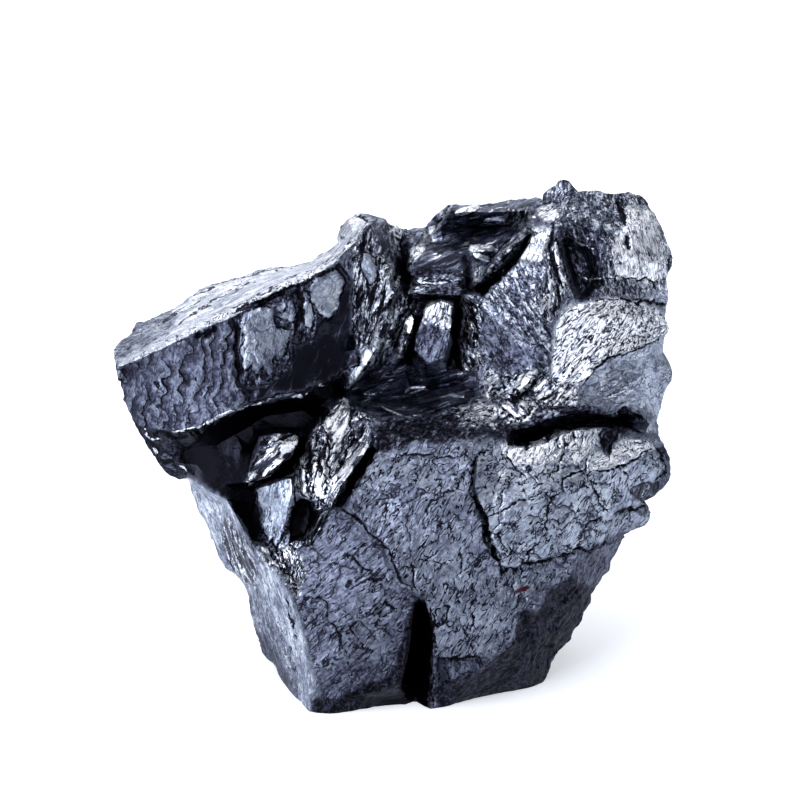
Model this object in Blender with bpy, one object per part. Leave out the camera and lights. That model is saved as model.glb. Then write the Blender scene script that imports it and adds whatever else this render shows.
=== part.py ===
"""A rough nugget of noble (elite) shungite, in one piece, standing on its flat foot.

The stone is drafted on a sheet that leans back from upright and touches the stone's nearest
point. A drafted point is (across, up, depth) in millimetres: across and up say where the
draughtsman's line of sight crosses the sheet, measured from the sheet's centre, and depth
says how far behind the sheet the point lies. Sight lines spread from an eye SIGHT_DISTANCE
in front of the sheet. The visible side and the hidden side are drafted as two skins that
share one rim, and the foot is cut flat where the stone stands.
"""

import math

import bmesh
import bpy
import numpy as np
from mathutils import Vector, noise
from mathutils.geometry import delaunay_2d_cdt

MM = 0.001
SHEET_LEAN = math.radians(15)
SIGHT_DISTANCE = 300.0
# The sheet's centre above the floor, and where it stands along X and Y, so that the origin
# is under the middle of the finished stone.
SHEET_HEIGHT = 32.0
SHEET_ACROSS = 0.46
SHEET_FORWARD = -16.03

FRONT_STEP = 1.3
BACK_STEP = 2.4
EDGE_STEP = 1.25
SNAP_TO_RIM = 0.62
LEAST_PULL = 0.01
RELAXING_ROUNDS = 900
FLANK_RINGS = ((0.5, 1.2, 0), (1.2, 3.6, 3))
FLANK_UNEVENNESS = 0.45
MARK_CLEARANCE = 0.75
GRAIN_SIZE = 4.5
GRAIN_HEIGHT = 0.22

SHUNGITE_BLACK = (0.045, 0.047, 0.058, 1.0)
SHUNGITE_METALLIC = 0.6
SHUNGITE_ROUGHNESS = 0.35

# The rim, clockwise as the eye sees it.
RIM = {
    "arm_back_edge": [
        (-28.4, 3.2, 10.0), (-28.6, 4.8, 12.0), (-28.2, 5.6, 13.5), (-27.6, 6.2, 15.0),
        (-26.8, 6.7, 16.0), (-26.2, 7.6, 17.5), (-25.0, 8.0, 18.5), (-23.0, 8.9, 19.5),
        (-21.4, 9.9, 20.5), (-20.0, 10.9, 21.5), (-18.0, 11.6, 22.0), (-16.2, 12.2, 22.5),
        (-14.6, 12.7, 23.0), (-12.8, 13.2, 23.0), (-11.2, 13.2, 22.0), (-9.8, 13.6, 21.5),
        (-8.8, 13.9, 21.0), (-7.8, 14.7, 21.0), (-7.2, 14.8, 20.0), (-6.1, 15.7, 19.0),
    ],
    "horn": [
        (-6.2, 16.3, 19.0), (-5.8, 17.3, 19.0), (-5.2, 18.1, 18.5), (-4.4, 18.6, 18.0),
        (-3.8, 18.7, 17.5), (-3.0, 18.45, 17.0), (-1.6, 17.8, 16.5),
    ],
    "saddle": [
        (-0.4, 17.05, 17.5), (0.8, 16.95, 18.5), (1.9, 17.1, 18.5), (2.7, 17.4, 18.0),
        (3.1, 18.0, 18.0), (3.8, 18.5, 17.5), (4.9, 19.4, 17.0),
    ],
    "crest": [
        (6.6, 19.45, 17.0), (9.6, 19.6, 17.5), (11.0, 20.0, 18.0), (13.6, 20.2, 17.0),
        (14.2, 20.05, 16.0), (14.35, 20.6, 15.0), (14.9, 21.1, 14.5), (15.6, 21.4, 14.0),
        (15.8, 21.9, 14.0), (16.3, 22.0, 14.0), (16.9, 21.8, 14.0), (17.3, 21.2, 14.0),
        (17.8, 20.8, 14.0), (19.9, 20.9, 14.0), (21.4, 20.6, 14.0), (22.8, 20.6, 14.5),
        (23.9, 20.3, 15.0), (24.5, 19.8, 15.0),
    ],
    "right_side": [
        (24.9, 18.8, 15.0), (25.4, 18.3, 15.0), (26.0, 17.2, 15.5), (26.4, 16.2, 15.5),
        (26.9, 15.2, 16.0), (27.2, 14.2, 16.0), (27.1, 13.4, 16.0), (26.75, 12.3, 16.0),
        (26.7, 11.2, 16.0), (26.75, 10.0, 16.5), (26.5, 9.0, 16.5), (26.5, 8.0, 16.5),
        (26.8, 7.2, 16.5), (26.4, 6.2, 17.0), (26.35, 4.7, 17.0), (26.9, 3.7, 17.0),
        (27.15, 2.8, 17.0), (27.0, 2.0, 17.0), (26.5, 1.2, 17.0), (26.15, 0.3, 17.0),
        (25.9, -0.8, 17.0), (25.6, -2.1, 17.0), (25.85, -2.6, 16.0), (25.8, -3.5, 15.0),
    ],
    "bulge": [
        (26.2, -4.2, 13.5), (26.8, -5.0, 13.0), (27.05, -5.9, 13.0), (27.05, -7.4, 13.0),
        (26.8, -8.0, 13.0), (26.2, -8.8, 13.5), (25.4, -9.5, 14.0), (24.5, -10.1, 14.0),
        (24.9, -11.0, 14.0), (25.0, -11.8, 14.0), (24.5, -12.6, 14.0), (23.6, -13.0, 14.0),
    ],
    "lower_right": [
        (22.4, -13.5, 13.5), (22.0, -14.4, 13.5), (21.5, -15.4, 13.5), (21.0, -16.2, 13.5),
        (20.9, -17.0, 13.5), (20.2, -17.6, 13.5), (19.7, -18.4, 13.5), (19.0, -19.4, 13.5),
        (19.05, -20.3, 13.5), (18.3, -21.2, 13.0), (18.05, -22.0, 13.0), (17.2, -22.9, 13.0),
        (17.0, -23.8, 13.5), (16.1, -24.8, 13.5), (15.1, -26.1, 14.0), (14.8, -27.2, 14.0),
        (14.3, -28.4, 13.6), (13.5, -29.0, 13.0),
    ],
    "foot_front": [
        (11.9, -29.6, 11.8), (9.4, -29.9, 10.8), (7.6, -30.2, 9.8), (6.0, -30.7, 8.4),
        (4.6, -31.4, 7.0), (3.0, -31.6, 6.4), (1.7, -31.2, 7.8), (0.0, -31.0, 8.0),
        (-2.5, -31.2, 7.4), (-4.6, -31.7, 6.0), (-6.6, -32.2, 4.9), (-8.4, -32.0, 5.2),
        (-9.3, -31.6, 6.2),
    ],
    "left_side": [
        (-10.2, -30.9, 8.4), (-11.0, -30.1, 10.6), (-11.7, -29.2, 13.0), (-12.2, -28.2, 15.2),
        (-12.3, -27.2, 16.4), (-12.4, -26.6, 16.6), (-13.0, -26.0, 16.6), (-13.6, -25.4, 16.8),
        (-13.8, -24.8, 17.0), (-14.1, -23.8, 17.0), (-14.4, -22.8, 17.0), (-15.0, -20.8, 17.0),
        (-15.1, -19.6, 17.0), (-15.6, -18.6, 17.0), (-16.1, -17.9, 17.5), (-17.0, -17.2, 18.0),
        (-17.6, -16.5, 18.0), (-18.1, -15.4, 18.0), (-19.2, -13.0, 18.0), (-20.0, -11.2, 18.0),
        (-20.8, -9.3, 18.0), (-21.35, -8.0, 17.0),
    ],
    "arm_keel": [
        (-22.0, -7.85, 14.0), (-23.0, -7.5, 12.5), (-24.0, -6.4, 11.5), (-25.0, -5.0, 11.0),
        (-25.8, -3.6, 10.5), (-26.4, -2.2, 10.0), (-27.0, -1.0, 10.0), (-27.5, 0.0, 10.0),
        (-28.0, 1.6, 10.0),
    ],
}

# Ridges, lips and valleys of the visible side.
FRONT_EDGES = {
    # The arm: a slab that juts to the left, with a bevel along its upper front edge.
    "arm_front_edge": [
        (-28.4, 3.2, 10.0), (-27.0, 3.8, 9.2), (-25.3, 4.7, 8.6), (-22.6, 6.2, 8.0),
        (-20.0, 7.35, 7.6), (-17.6, 8.1, 7.4), (-15.0, 9.6, 7.4), (-12.4, 10.9, 7.6),
        (-10.0, 11.8, 8.0), (-8.0, 12.6, 8.4), (-6.4, 14.0, 9.0), (-4.6, 15.6, 9.8),
        (-3.0, 17.45, 11.0),
    ],
    "arm_bevel": [
        (-27.4, 4.4, 10.4), (-25.6, 5.2, 9.8), (-24.0, 5.9, 9.4), (-21.6, 7.1, 8.8),
        (-19.6, 8.0, 8.6), (-17.2, 8.8, 8.4), (-15.0, 10.25, 8.5), (-12.4, 11.6, 8.9),
        (-10.0, 12.7, 9.6), (-8.2, 13.4, 10.2), (-6.8, 14.7, 11.0), (-5.4, 16.2, 12.0),
        (-4.0, 17.5, 13.4),
    ],
    "arm_lower_edge": [
        (-26.2, -0.6, 8.6), (-25.2, -2.0, 8.2), (-24.0, -3.0, 7.7), (-22.6, -3.35, 7.2),
        (-21.0, -3.15, 6.8), (-19.8, -2.7, 6.6), (-18.6, -1.8, 6.4), (-16.8, -1.0, 6.4),
        (-15.2, -0.4, 6.6), (-13.2, 0.1, 6.9), (-11.0, 0.5, 7.4), (-8.6, 1.4, 8.4),
        (-6.6, 2.6, 9.8), (-5.4, 3.9, 11.0),
    ],
    "undercut_left_edge": [
        (-24.0, -3.0, 7.7), (-23.0, -4.6, 9.2), (-22.0, -6.2, 10.6), (-21.3, -7.1, 12.2),
    ],
    "undercut_hollow": [
        (-20.6, -4.6, 10.6), (-18.2, -4.4, 11.0), (-16.4, -3.4, 11.0), (-13.6, -1.6, 10.6),
        (-10.6, -1.2, 10.8), (-8.0, -0.6, 11.4),
    ],
    "arm_hollow": [(-7.4, 6.6, 9.9), (-5.8, 6.2, 11.0), (-4.8, 5.8, 12.0)],
    "arm_plate_foot": [(-9.2, 8.7, 8.3), (-7.4, 8.2, 8.9), (-5.4, 9.0, 9.9)],
    # Under the arm the pale left face starts behind the keel.
    "keel": [
        (-20.3, -8.4, 13.6), (-18.8, -9.3, 11.6), (-17.4, -9.9, 10.2), (-16.6, -11.2, 9.0),
        (-15.6, -13.0, 8.0), (-14.6, -14.6, 7.2), (-13.0, -16.2, 6.6), (-11.8, -18.0, 6.0),
        (-10.6, -19.9, 5.5), (-10.0, -21.5, 5.0), (-9.5, -23.2, 4.7), (-9.0, -25.2, 4.3),
        (-8.4, -27.2, 4.0), (-8.4, -29.2, 4.1), (-8.9, -30.8, 4.9),
    ],
    "left_face_top": [
        (-20.7, -9.0, 16.8), (-19.2, -9.9, 15.4), (-17.9, -10.6, 14.0), (-17.2, -11.6, 12.6),
        (-16.2, -13.4, 10.6), (-15.3, -14.8, 8.9),
    ],
    "left_face_fold": [
        (-17.3, -14.0, 16.0), (-16.4, -15.6, 14.8), (-15.6, -17.2, 14.2), (-14.4, -18.6, 12.6),
        (-13.6, -21.0, 12.0), (-12.6, -24.2, 11.6), (-11.4, -26.4, 10.8),
    ],
    # Glassy blades that stand proud of the dark hollow.
    "blade_1_crest": [
        (-15.5, -8.3, 9.8), (-15.0, -6.4, 9.2), (-14.1, -3.7, 8.5), (-12.4, -3.3, 8.7),
        (-10.3, -3.5, 9.7),
    ],
    "blade_1_foot": [
        (-15.5, -8.3, 9.8), (-13.5, -7.4, 8.0), (-12.0, -6.2, 7.7), (-10.4, -4.7, 8.7),
        (-10.3, -3.5, 9.7),
    ],
    "gap_over_blade_1": [
        (-15.3, -4.4, 11.0), (-14.4, -3.1, 10.9), (-12.4, -2.7, 10.9), (-9.8, -2.8, 11.2),
    ],
    "gap_under_blade_1": [
        (-15.3, -9.0, 11.4), (-13.2, -8.0, 10.7), (-11.4, -6.7, 10.4), (-9.5, -4.9, 10.6),
    ],
    "blade_2_left": [
        (-5.4, -0.3, 11.2), (-7.2, -1.8, 9.6), (-8.8, -3.8, 8.2), (-8.5, -5.4, 7.3),
        (-8.1, -7.4, 6.7), (-7.5, -9.2, 6.4), (-7.0, -10.8, 6.4),
    ],
    "blade_2_right": [
        (-5.4, -0.3, 11.2), (-4.0, -1.3, 9.4), (-3.7, -3.0, 8.0), (-2.8, -4.5, 6.9),
        (-4.2, -6.2, 6.1), (-5.8, -8.4, 5.9), (-7.0, -10.8, 6.4),
    ],
    "blade_2_slot": [(-4.3, -3.6, 8.9), (-5.2, -5.2, 8.6), (-6.3, -6.7, 7.7)],
    "blade_3_rim": [
        (-14.4, -9.1, 9.4), (-12.8, -8.6, 8.4), (-10.9, -7.9, 7.6), (-10.9, -9.6, 7.4),
        (-11.3, -11.6, 7.2), (-11.8, -14.2, 7.0), (-12.6, -14.9, 7.3), (-13.4, -14.1, 7.9),
        (-13.9, -12.0, 8.7), (-14.4, -9.1, 9.4),
    ],
    "gap_left_of_blade_3": [(-15.4, -10.2, 11.2), (-15.0, -11.6, 10.2), (-14.5, -13.2, 9.2)],
    "pit_rim": [
        (-10.5, -10.3, 7.4), (-9.6, -9.8, 7.4), (-8.6, -10.2, 7.2), (-8.5, -11.4, 6.8),
        (-9.1, -13.2, 6.4), (-10.2, -14.1, 6.4), (-11.2, -14.4, 6.9), (-10.9, -12.0, 7.3),
        (-10.5, -10.3, 7.4),
    ],
    "pit_floor": [
        (-10.0, -10.9, 10.8), (-9.3, -10.7, 10.8), (-9.2, -11.8, 10.6), (-9.8, -13.1, 10.2),
        (-10.6, -13.3, 10.0), (-10.4, -12.0, 10.4), (-10.0, -10.9, 10.8),
    ],
    "pit_fin": [(-9.5, -6.0, 8.8), (-9.5, -7.6, 7.2), (-9.0, -8.9, 6.8)],
    "gap_left_of_fin": [(-10.2, -6.8, 9.0), (-10.3, -8.6, 8.6)],
    "rubble_under_pit": [
        (-12.9, -15.6, 7.6), (-11.6, -16.6, 6.9), (-10.9, -17.6, 6.6), (-10.3, -18.2, 6.2),
    ],
    # The lower left facet and the plate that laps over it.
    "left_facet_border": [
        (-5.7, -10.9, 4.3), (-7.0, -11.5, 4.6), (-8.1, -13.0, 4.9), (-9.2, -14.9, 5.2),
        (-9.9, -17.0, 5.3), (-10.2, -18.9, 5.4),
    ],
    "plate_border": [(-1.9, -4.4, 6.2), (-3.2, -6.6, 5.2), (-4.6, -8.8, 4.2), (-5.0, -10.6, 3.4)],
    "gap_right_of_blade_2": [
        (-2.9, -5.0, 8.0), (-4.0, -7.1, 8.2), (-5.2, -9.3, 7.4), (-6.2, -10.8, 6.6),
    ],
    "plate_lip": [
        (-5.0, -10.6, 3.4), (-3.6, -12.7, 2.9), (-2.4, -13.8, 2.6), (-1.2, -14.8, 2.4),
        (-0.8, -16.2, 2.3), (0.4, -17.9, 2.2), (1.9, -19.3, 2.3),
    ],
    "plate_lip_foot": [
        (-5.6, -11.3, 4.1), (-4.1, -13.1, 3.7), (-2.9, -14.3, 3.5), (-1.8, -15.3, 3.3),
        (-1.4, -16.6, 3.2), (-0.2, -18.4, 3.1), (1.3, -19.7, 3.2),
    ],
    "left_facet_step": [
        (-5.6, -15.6, 3.7), (-4.4, -16.2, 3.5), (-3.2, -17.1, 3.3), (-2.9, -18.1, 3.3),
        (-1.9, -18.2, 3.1),
    ],
    "left_facet_ridge": [
        (-5.8, -20.8, 3.1), (-5.0, -22.2, 2.9), (-4.2, -24.0, 2.9), (-3.4, -25.6, 3.2),
    ],
    "left_facet_toe": [
        (-8.3, -30.4, 4.4), (-6.2, -30.0, 4.2), (-3.8, -29.3, 4.2), (-0.6, -28.9, 4.7),
    ],
    # The upright notch that opens at the foot.
    "notch_left_lip": [
        (1.4, -20.2, 3.2), (1.3, -21.6, 3.1), (1.0, -24.0, 3.4), (0.6, -26.2, 3.8),
        (0.1, -28.2, 4.8), (-0.2, -29.4, 5.8),
    ],
    "notch_right_lip": [
        (2.5, -19.9, 2.4), (3.0, -22.0, 2.8), (3.3, -24.4, 3.2), (3.4, -26.4, 3.7),
        (3.2, -28.6, 4.6), (3.1, -30.2, 5.6),
    ],
    "notch_floor": [
        (2.0, -20.6, 4.8), (2.2, -22.4, 6.6), (2.2, -25.0, 7.6), (1.9, -27.8, 8.2),
        (1.6, -29.6, 8.0),
    ],
    # The great lower face with its plates.
    "lower_face_top": [
        (-1.9, -4.4, 6.2), (0.6, -4.0, 5.3), (3.4, -3.9, 4.7), (6.4, -3.9, 4.5), (8.4, -3.5, 4.8),
        (10.2, -4.3, 4.6), (11.4, -4.8, 4.8), (12.8, -4.9, 5.0), (14.2, -4.6, 5.2),
        (15.6, -3.7, 5.6), (17.2, -3.2, 6.2), (19.0, -3.0, 6.9), (20.6, -2.9, 7.6),
        (21.8, -3.2, 8.3), (22.8, -4.0, 9.0), (24.0, -4.0, 9.8), (25.0, -4.4, 10.8),
    ],
    "block_back_lip": [
        (-4.2, -1.0, 10.2), (-2.0, -1.8, 9.4), (1.0, -1.9, 9.0), (3.6, -1.5, 9.2),
        (5.6, -0.7, 9.8), (8.0, -0.2, 10.2),
    ],
    "face_middle": [(1.0, -8.6, 2.6), (4.4, -10.0, 1.9), (6.6, -9.6, 1.9)],
    "first_crack_left": [
        (7.2, -6.6, 3.0), (6.9, -8.6, 2.4), (7.3, -10.3, 2.1), (8.0, -11.6, 2.1),
        (8.2, -14.0, 2.2), (9.2, -15.6, 2.7),
    ],
    "first_crack_floor": [
        (7.5, -6.6, 3.9), (7.25, -8.6, 3.2), (7.7, -10.3, 2.9), (8.4, -11.6, 2.9),
        (8.6, -14.0, 3.1), (9.5, -15.4, 3.5),
    ],
    "first_crack_right": [
        (7.8, -6.6, 3.0), (7.6, -8.6, 2.4), (8.1, -10.3, 2.2), (8.9, -11.6, 2.2),
        (9.0, -13.8, 2.3), (9.9, -15.1, 2.7),
    ],
    "second_plate_lip": [
        (9.3, -11.7, 2.2), (11.0, -10.6, 2.3), (12.6, -10.0, 2.6), (14.2, -9.2, 3.0),
        (15.9, -9.2, 3.7), (16.8, -8.8, 4.1), (16.3, -8.0, 4.2), (16.7, -7.0, 4.7),
        (16.3, -6.0, 5.0), (16.6, -5.0, 5.4),
    ],
    "third_plate_lip": [
        (14.9, -10.4, 3.3), (14.6, -12.5, 3.5), (13.9, -14.2, 3.6), (12.8, -15.4, 3.5),
    ],
    "bulge_crack": [(18.7, -7.2, 5.7), (20.7, -7.3, 6.6), (23.0, -6.4, 8.2), (25.2, -5.4, 10.6)],
    "fourth_plate_lip": [
        (18.7, -7.2, 5.7), (19.3, -8.7, 6.0), (20.0, -10.4, 6.8), (20.8, -11.3, 7.8),
    ],
    "lower_plate_lip": [
        (9.9, -16.4, 2.9), (11.9, -16.8, 3.3), (14.4, -16.2, 4.3), (16.4, -15.6, 5.4),
        (18.2, -15.0, 6.8), (19.8, -14.6, 8.4), (21.0, -13.6, 10.2),
    ],
    "lower_plate_foot": [
        (10.0, -17.0, 3.7), (12.0, -17.3, 4.1), (14.6, -16.8, 5.2), (16.6, -16.2, 6.4),
        (18.4, -15.6, 7.8), (20.0, -15.1, 9.6),
    ],
    # The dark lower right facet turns down towards the foot.
    "dark_facet_lip": [
        (5.2, -28.3, 4.7), (6.8, -27.8, 4.7), (8.2, -26.6, 4.4), (10.1, -25.1, 4.5),
        (11.6, -24.0, 4.7), (11.9, -22.5, 4.5), (11.4, -21.6, 4.2), (12.4, -21.0, 4.3),
        (13.2, -21.4, 4.6), (14.2, -20.1, 4.9), (14.5, -19.1, 5.1), (16.4, -18.5, 6.5),
        (17.4, -18.0, 7.8),
    ],
    "dark_facet_top": [
        (7.2, -28.4, 6.4), (8.7, -27.1, 6.0), (10.6, -25.6, 6.0), (12.2, -24.3, 6.2),
        (12.5, -22.5, 6.0), (13.4, -22.0, 6.2), (14.8, -20.5, 6.6), (15.2, -19.6, 6.9),
        (16.8, -19.2, 8.4), (18.0, -18.9, 10.4),
    ],
    "dark_facet_ridge": [
        (16.6, -21.4, 9.6), (15.4, -23.4, 9.2), (13.6, -25.6, 8.6), (11.0, -27.4, 8.2),
    ],
    "bulge_brow": [
        (25.0, -4.4, 10.8), (25.9, -5.8, 11.2), (26.0, -7.3, 11.4), (25.0, -8.5, 11.4),
        (23.6, -9.5, 11.2),
    ],
    "small_knob": [(23.0, -10.8, 11.2), (23.9, -11.6, 12.0), (23.2, -12.4, 12.2)],
    # The black crack across the right half.
    "crack_upper_lip": [
        (10.9, -3.0, 7.8), (13.0, -2.5, 7.6), (14.6, -1.8, 7.5), (16.4, -1.4, 7.7),
        (18.4, -0.9, 8.4), (19.8, -1.2, 9.2), (20.8, -1.8, 10.2), (21.8, -1.5, 10.9),
        (22.4, -0.7, 11.2), (23.2, -1.2, 11.8), (24.2, -1.5, 12.8),
    ],
    "crack_floor": [
        (12.2, -3.9, 11.0), (14.6, -3.1, 12.6), (17.2, -2.3, 13.4), (20.0, -2.3, 13.8),
        (22.4, -2.4, 14.4), (24.0, -2.4, 14.6),
    ],
    "crack_shelf": [(23.8, -3.3, 12.6), (24.6, -3.2, 13.0), (25.0, -2.4, 13.6)],
    # The smooth shell-like patch at the right, a step below the rough face.
    "patch_lip": [
        (18.4, 1.6, 9.2), (19.1, 2.7, 9.0), (20.3, 3.6, 9.2), (21.4, 4.2, 9.6), (22.6, 4.6, 10.3),
        (24.4, 5.2, 11.6), (25.3, 5.9, 13.2),
    ],
    "patch_top": [
        (18.8, 1.1, 10.0), (19.6, 2.3, 10.0), (20.6, 3.1, 10.2), (21.6, 3.7, 10.6),
        (22.8, 4.1, 11.3), (24.6, 4.6, 12.8),
    ],
    "patch_middle": [(20.0, -0.1, 10.0), (22.0, 0.7, 10.8), (23.6, 2.0, 11.8)],
    # The rough upper right face.
    "rough_face_middle": [
        (17.4, 7.4, 8.4), (20.0, 8.0, 8.6), (22.8, 8.2, 10.0), (24.6, 8.0, 12.0),
    ],
    "rough_face_top": [(20.8, 14.6, 10.4), (23.2, 14.4, 11.4), (25.4, 13.6, 13.2)],
    "crest_step": [
        (16.8, 18.2, 10.6), (18.4, 17.4, 10.6), (20.4, 17.2, 10.8), (22.0, 17.1, 11.2),
        (24.0, 17.3, 12.6),
    ],
    "crest_step_foot": [
        (17.2, 17.6, 11.4), (18.8, 16.8, 11.2), (20.6, 16.6, 11.4), (22.2, 16.5, 11.8),
    ],
    "hollow_rim": [
        (15.7, 17.1, 10.2), (15.7, 15.6, 10.0), (16.1, 13.8, 9.6), (16.8, 11.6, 9.4),
        (17.4, 10.0, 9.2), (19.3, 9.9, 9.2), (20.0, 12.0, 10.0), (19.6, 14.2, 10.6),
        (18.4, 15.8, 11.2), (16.8, 16.7, 11.0), (15.7, 17.1, 10.2),
    ],
    "hollow_floor": [
        (16.9, 15.3, 12.8), (17.5, 13.0, 12.8), (18.1, 11.1, 12.2), (19.0, 12.6, 12.6),
        (18.2, 14.6, 13.0), (16.9, 15.3, 12.8),
    ],
    # The slanting middle face with its spine.
    "spine": [
        (14.9, 17.0, 10.4), (15.0, 14.6, 9.4), (14.9, 12.2, 8.8), (14.4, 10.0, 8.4),
        (14.4, 8.0, 8.4), (15.4, 6.6, 8.8),
    ],
    "middle_face_top": [
        (8.0, 10.4, 11.2), (9.2, 11.4, 10.9), (10.6, 12.6, 10.7), (12.0, 14.4, 10.6),
        (13.3, 16.2, 10.6), (14.9, 17.0, 10.4),
    ],
    "middle_face_left": [
        (8.0, 10.4, 11.2), (7.7, 8.4, 11.2), (8.0, 6.0, 11.0), (8.6, 3.8, 10.8), (9.6, 2.6, 10.2),
    ],
    "middle_face_fold": [(8.4, 10.0, 10.9), (10.0, 8.0, 10.0), (11.8, 6.9, 9.8)],
    "lower_right_fin": [(13.8, 3.8, 8.8), (12.6, 1.9, 8.9), (11.0, 0.3, 9.4)],
    "fin_foot": [(14.3, 3.2, 9.8), (13.1, 1.3, 10.2), (11.9, 0.1, 10.6)],
    "lump_right": [(10.6, -0.6, 8.8), (12.2, -0.4, 8.0), (12.9, -1.6, 8.0)],
    "lump_left": [(7.4, -0.8, 9.2), (8.8, -0.9, 8.6), (9.6, -1.8, 8.6)],
    "rubble_floor": [(6.6, 1.4, 12.6), (8.4, 0.6, 11.8), (10.2, 0.2, 11.2)],
    # The dark alcove under the crest.
    "alcove_brow": [
        (4.7, 18.6, 15.4), (6.6, 18.8, 15.2), (9.6, 18.8, 15.2), (12.4, 18.9, 14.8),
        (13.4, 18.0, 13.8),
    ],
    "alcove_floor": [(4.9, 17.4, 18.4), (8.0, 17.2, 18.8), (11.2, 17.5, 18.0)],
    "alcove_sill": [(3.4, 15.8, 17.2), (6.0, 15.7, 16.6), (8.4, 15.7, 15.8)],
    "alcove_left_lip": [
        (1.3, 15.0, 15.2), (2.0, 16.3, 15.6), (3.1, 17.3, 15.9), (4.1, 18.1, 16.0),
    ],
    "ledge_lip": [(1.6, 14.3, 14.0), (4.0, 14.4, 13.8), (6.6, 14.9, 13.4), (8.4, 14.9, 13.4)],
    "fin_crest": [
        (13.2, 17.0, 11.2), (11.8, 15.7, 11.2), (10.3, 14.3, 11.3), (9.2, 13.1, 11.6),
        (8.0, 11.8, 12.2),
    ],
    "fin_upper_foot": [
        (12.0, 16.7, 14.4), (10.4, 15.3, 14.6), (9.2, 14.0, 14.4), (8.3, 13.0, 14.0),
    ],
    "fin_lower_foot": [
        (13.1, 16.6, 12.8), (11.3, 14.3, 13.4), (9.8, 12.7, 13.6), (8.5, 11.4, 13.6),
        (7.4, 10.9, 13.6),
    ],
    "block_top": [(0.8, 12.9, 13.4), (3.4, 12.9, 12.8), (6.2, 12.6, 12.6)],
    "block_bottom": [(0.9, 10.6, 12.4), (3.4, 10.6, 12.0), (6.4, 10.5, 12.0)],
    "gap_under_block": [(1.4, 9.8, 14.2), (4.0, 10.15, 13.6), (6.2, 9.9, 13.8)],
    "lens_rim": [
        (2.4, 9.0, 11.6), (4.2, 9.7, 11.4), (5.3, 9.2, 11.4), (4.9, 6.6, 10.5), (4.4, 4.3, 10.5),
        (2.6, 3.5, 10.8), (1.4, 5.0, 11.2), (1.9, 7.0, 11.4), (2.4, 9.0, 11.6),
    ],
    "slot_right_of_lens": [(5.8, 8.8, 14.2), (5.6, 6.4, 14.2), (5.3, 4.2, 13.8)],
    "slot_left_of_lens": [(1.6, 8.8, 14.4), (0.9, 6.2, 14.6), (0.7, 4.0, 14.8)],
    "rib_crest": [
        (-0.9, 10.6, 11.2), (-1.9, 7.4, 10.4), (-2.8, 5.0, 10.6), (-4.0, 3.0, 11.0),
        (-5.1, 1.6, 11.8),
    ],
    "rib_second": [(1.3, 7.9, 12.0), (0.5, 5.8, 12.2), (-0.2, 4.4, 12.8)],
    "gap_between_ribs": [(0.0, 9.4, 14.2), (-0.8, 6.2, 14.2), (-1.6, 3.6, 14.4)],
    "upper_rib": [
        (-3.0, 17.45, 11.0), (-1.9, 15.2, 10.5), (-1.4, 13.0, 10.8), (-0.9, 10.6, 11.2),
    ],
    "crumple": [(-5.0, 14.2, 9.9), (-4.2, 12.0, 10.5), (-3.2, 9.6, 11.6), (-3.4, 7.6, 12.2)],
    "crumple_facet": [(-3.9, 14.6, 9.9), (-2.9, 13.4, 9.7), (-2.8, 11.6, 10.2)],
    "saddle_gully": [(0.2, 15.8, 16.2), (0.3, 13.6, 15.0), (0.2, 11.2, 14.4)],
    "centre_gully": [
        (-5.6, 0.9, 12.6), (-3.0, 0.5, 14.4), (0.0, 1.2, 15.4), (3.0, 1.3, 15.0),
        (5.2, 1.6, 14.2),
    ],
}

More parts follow.
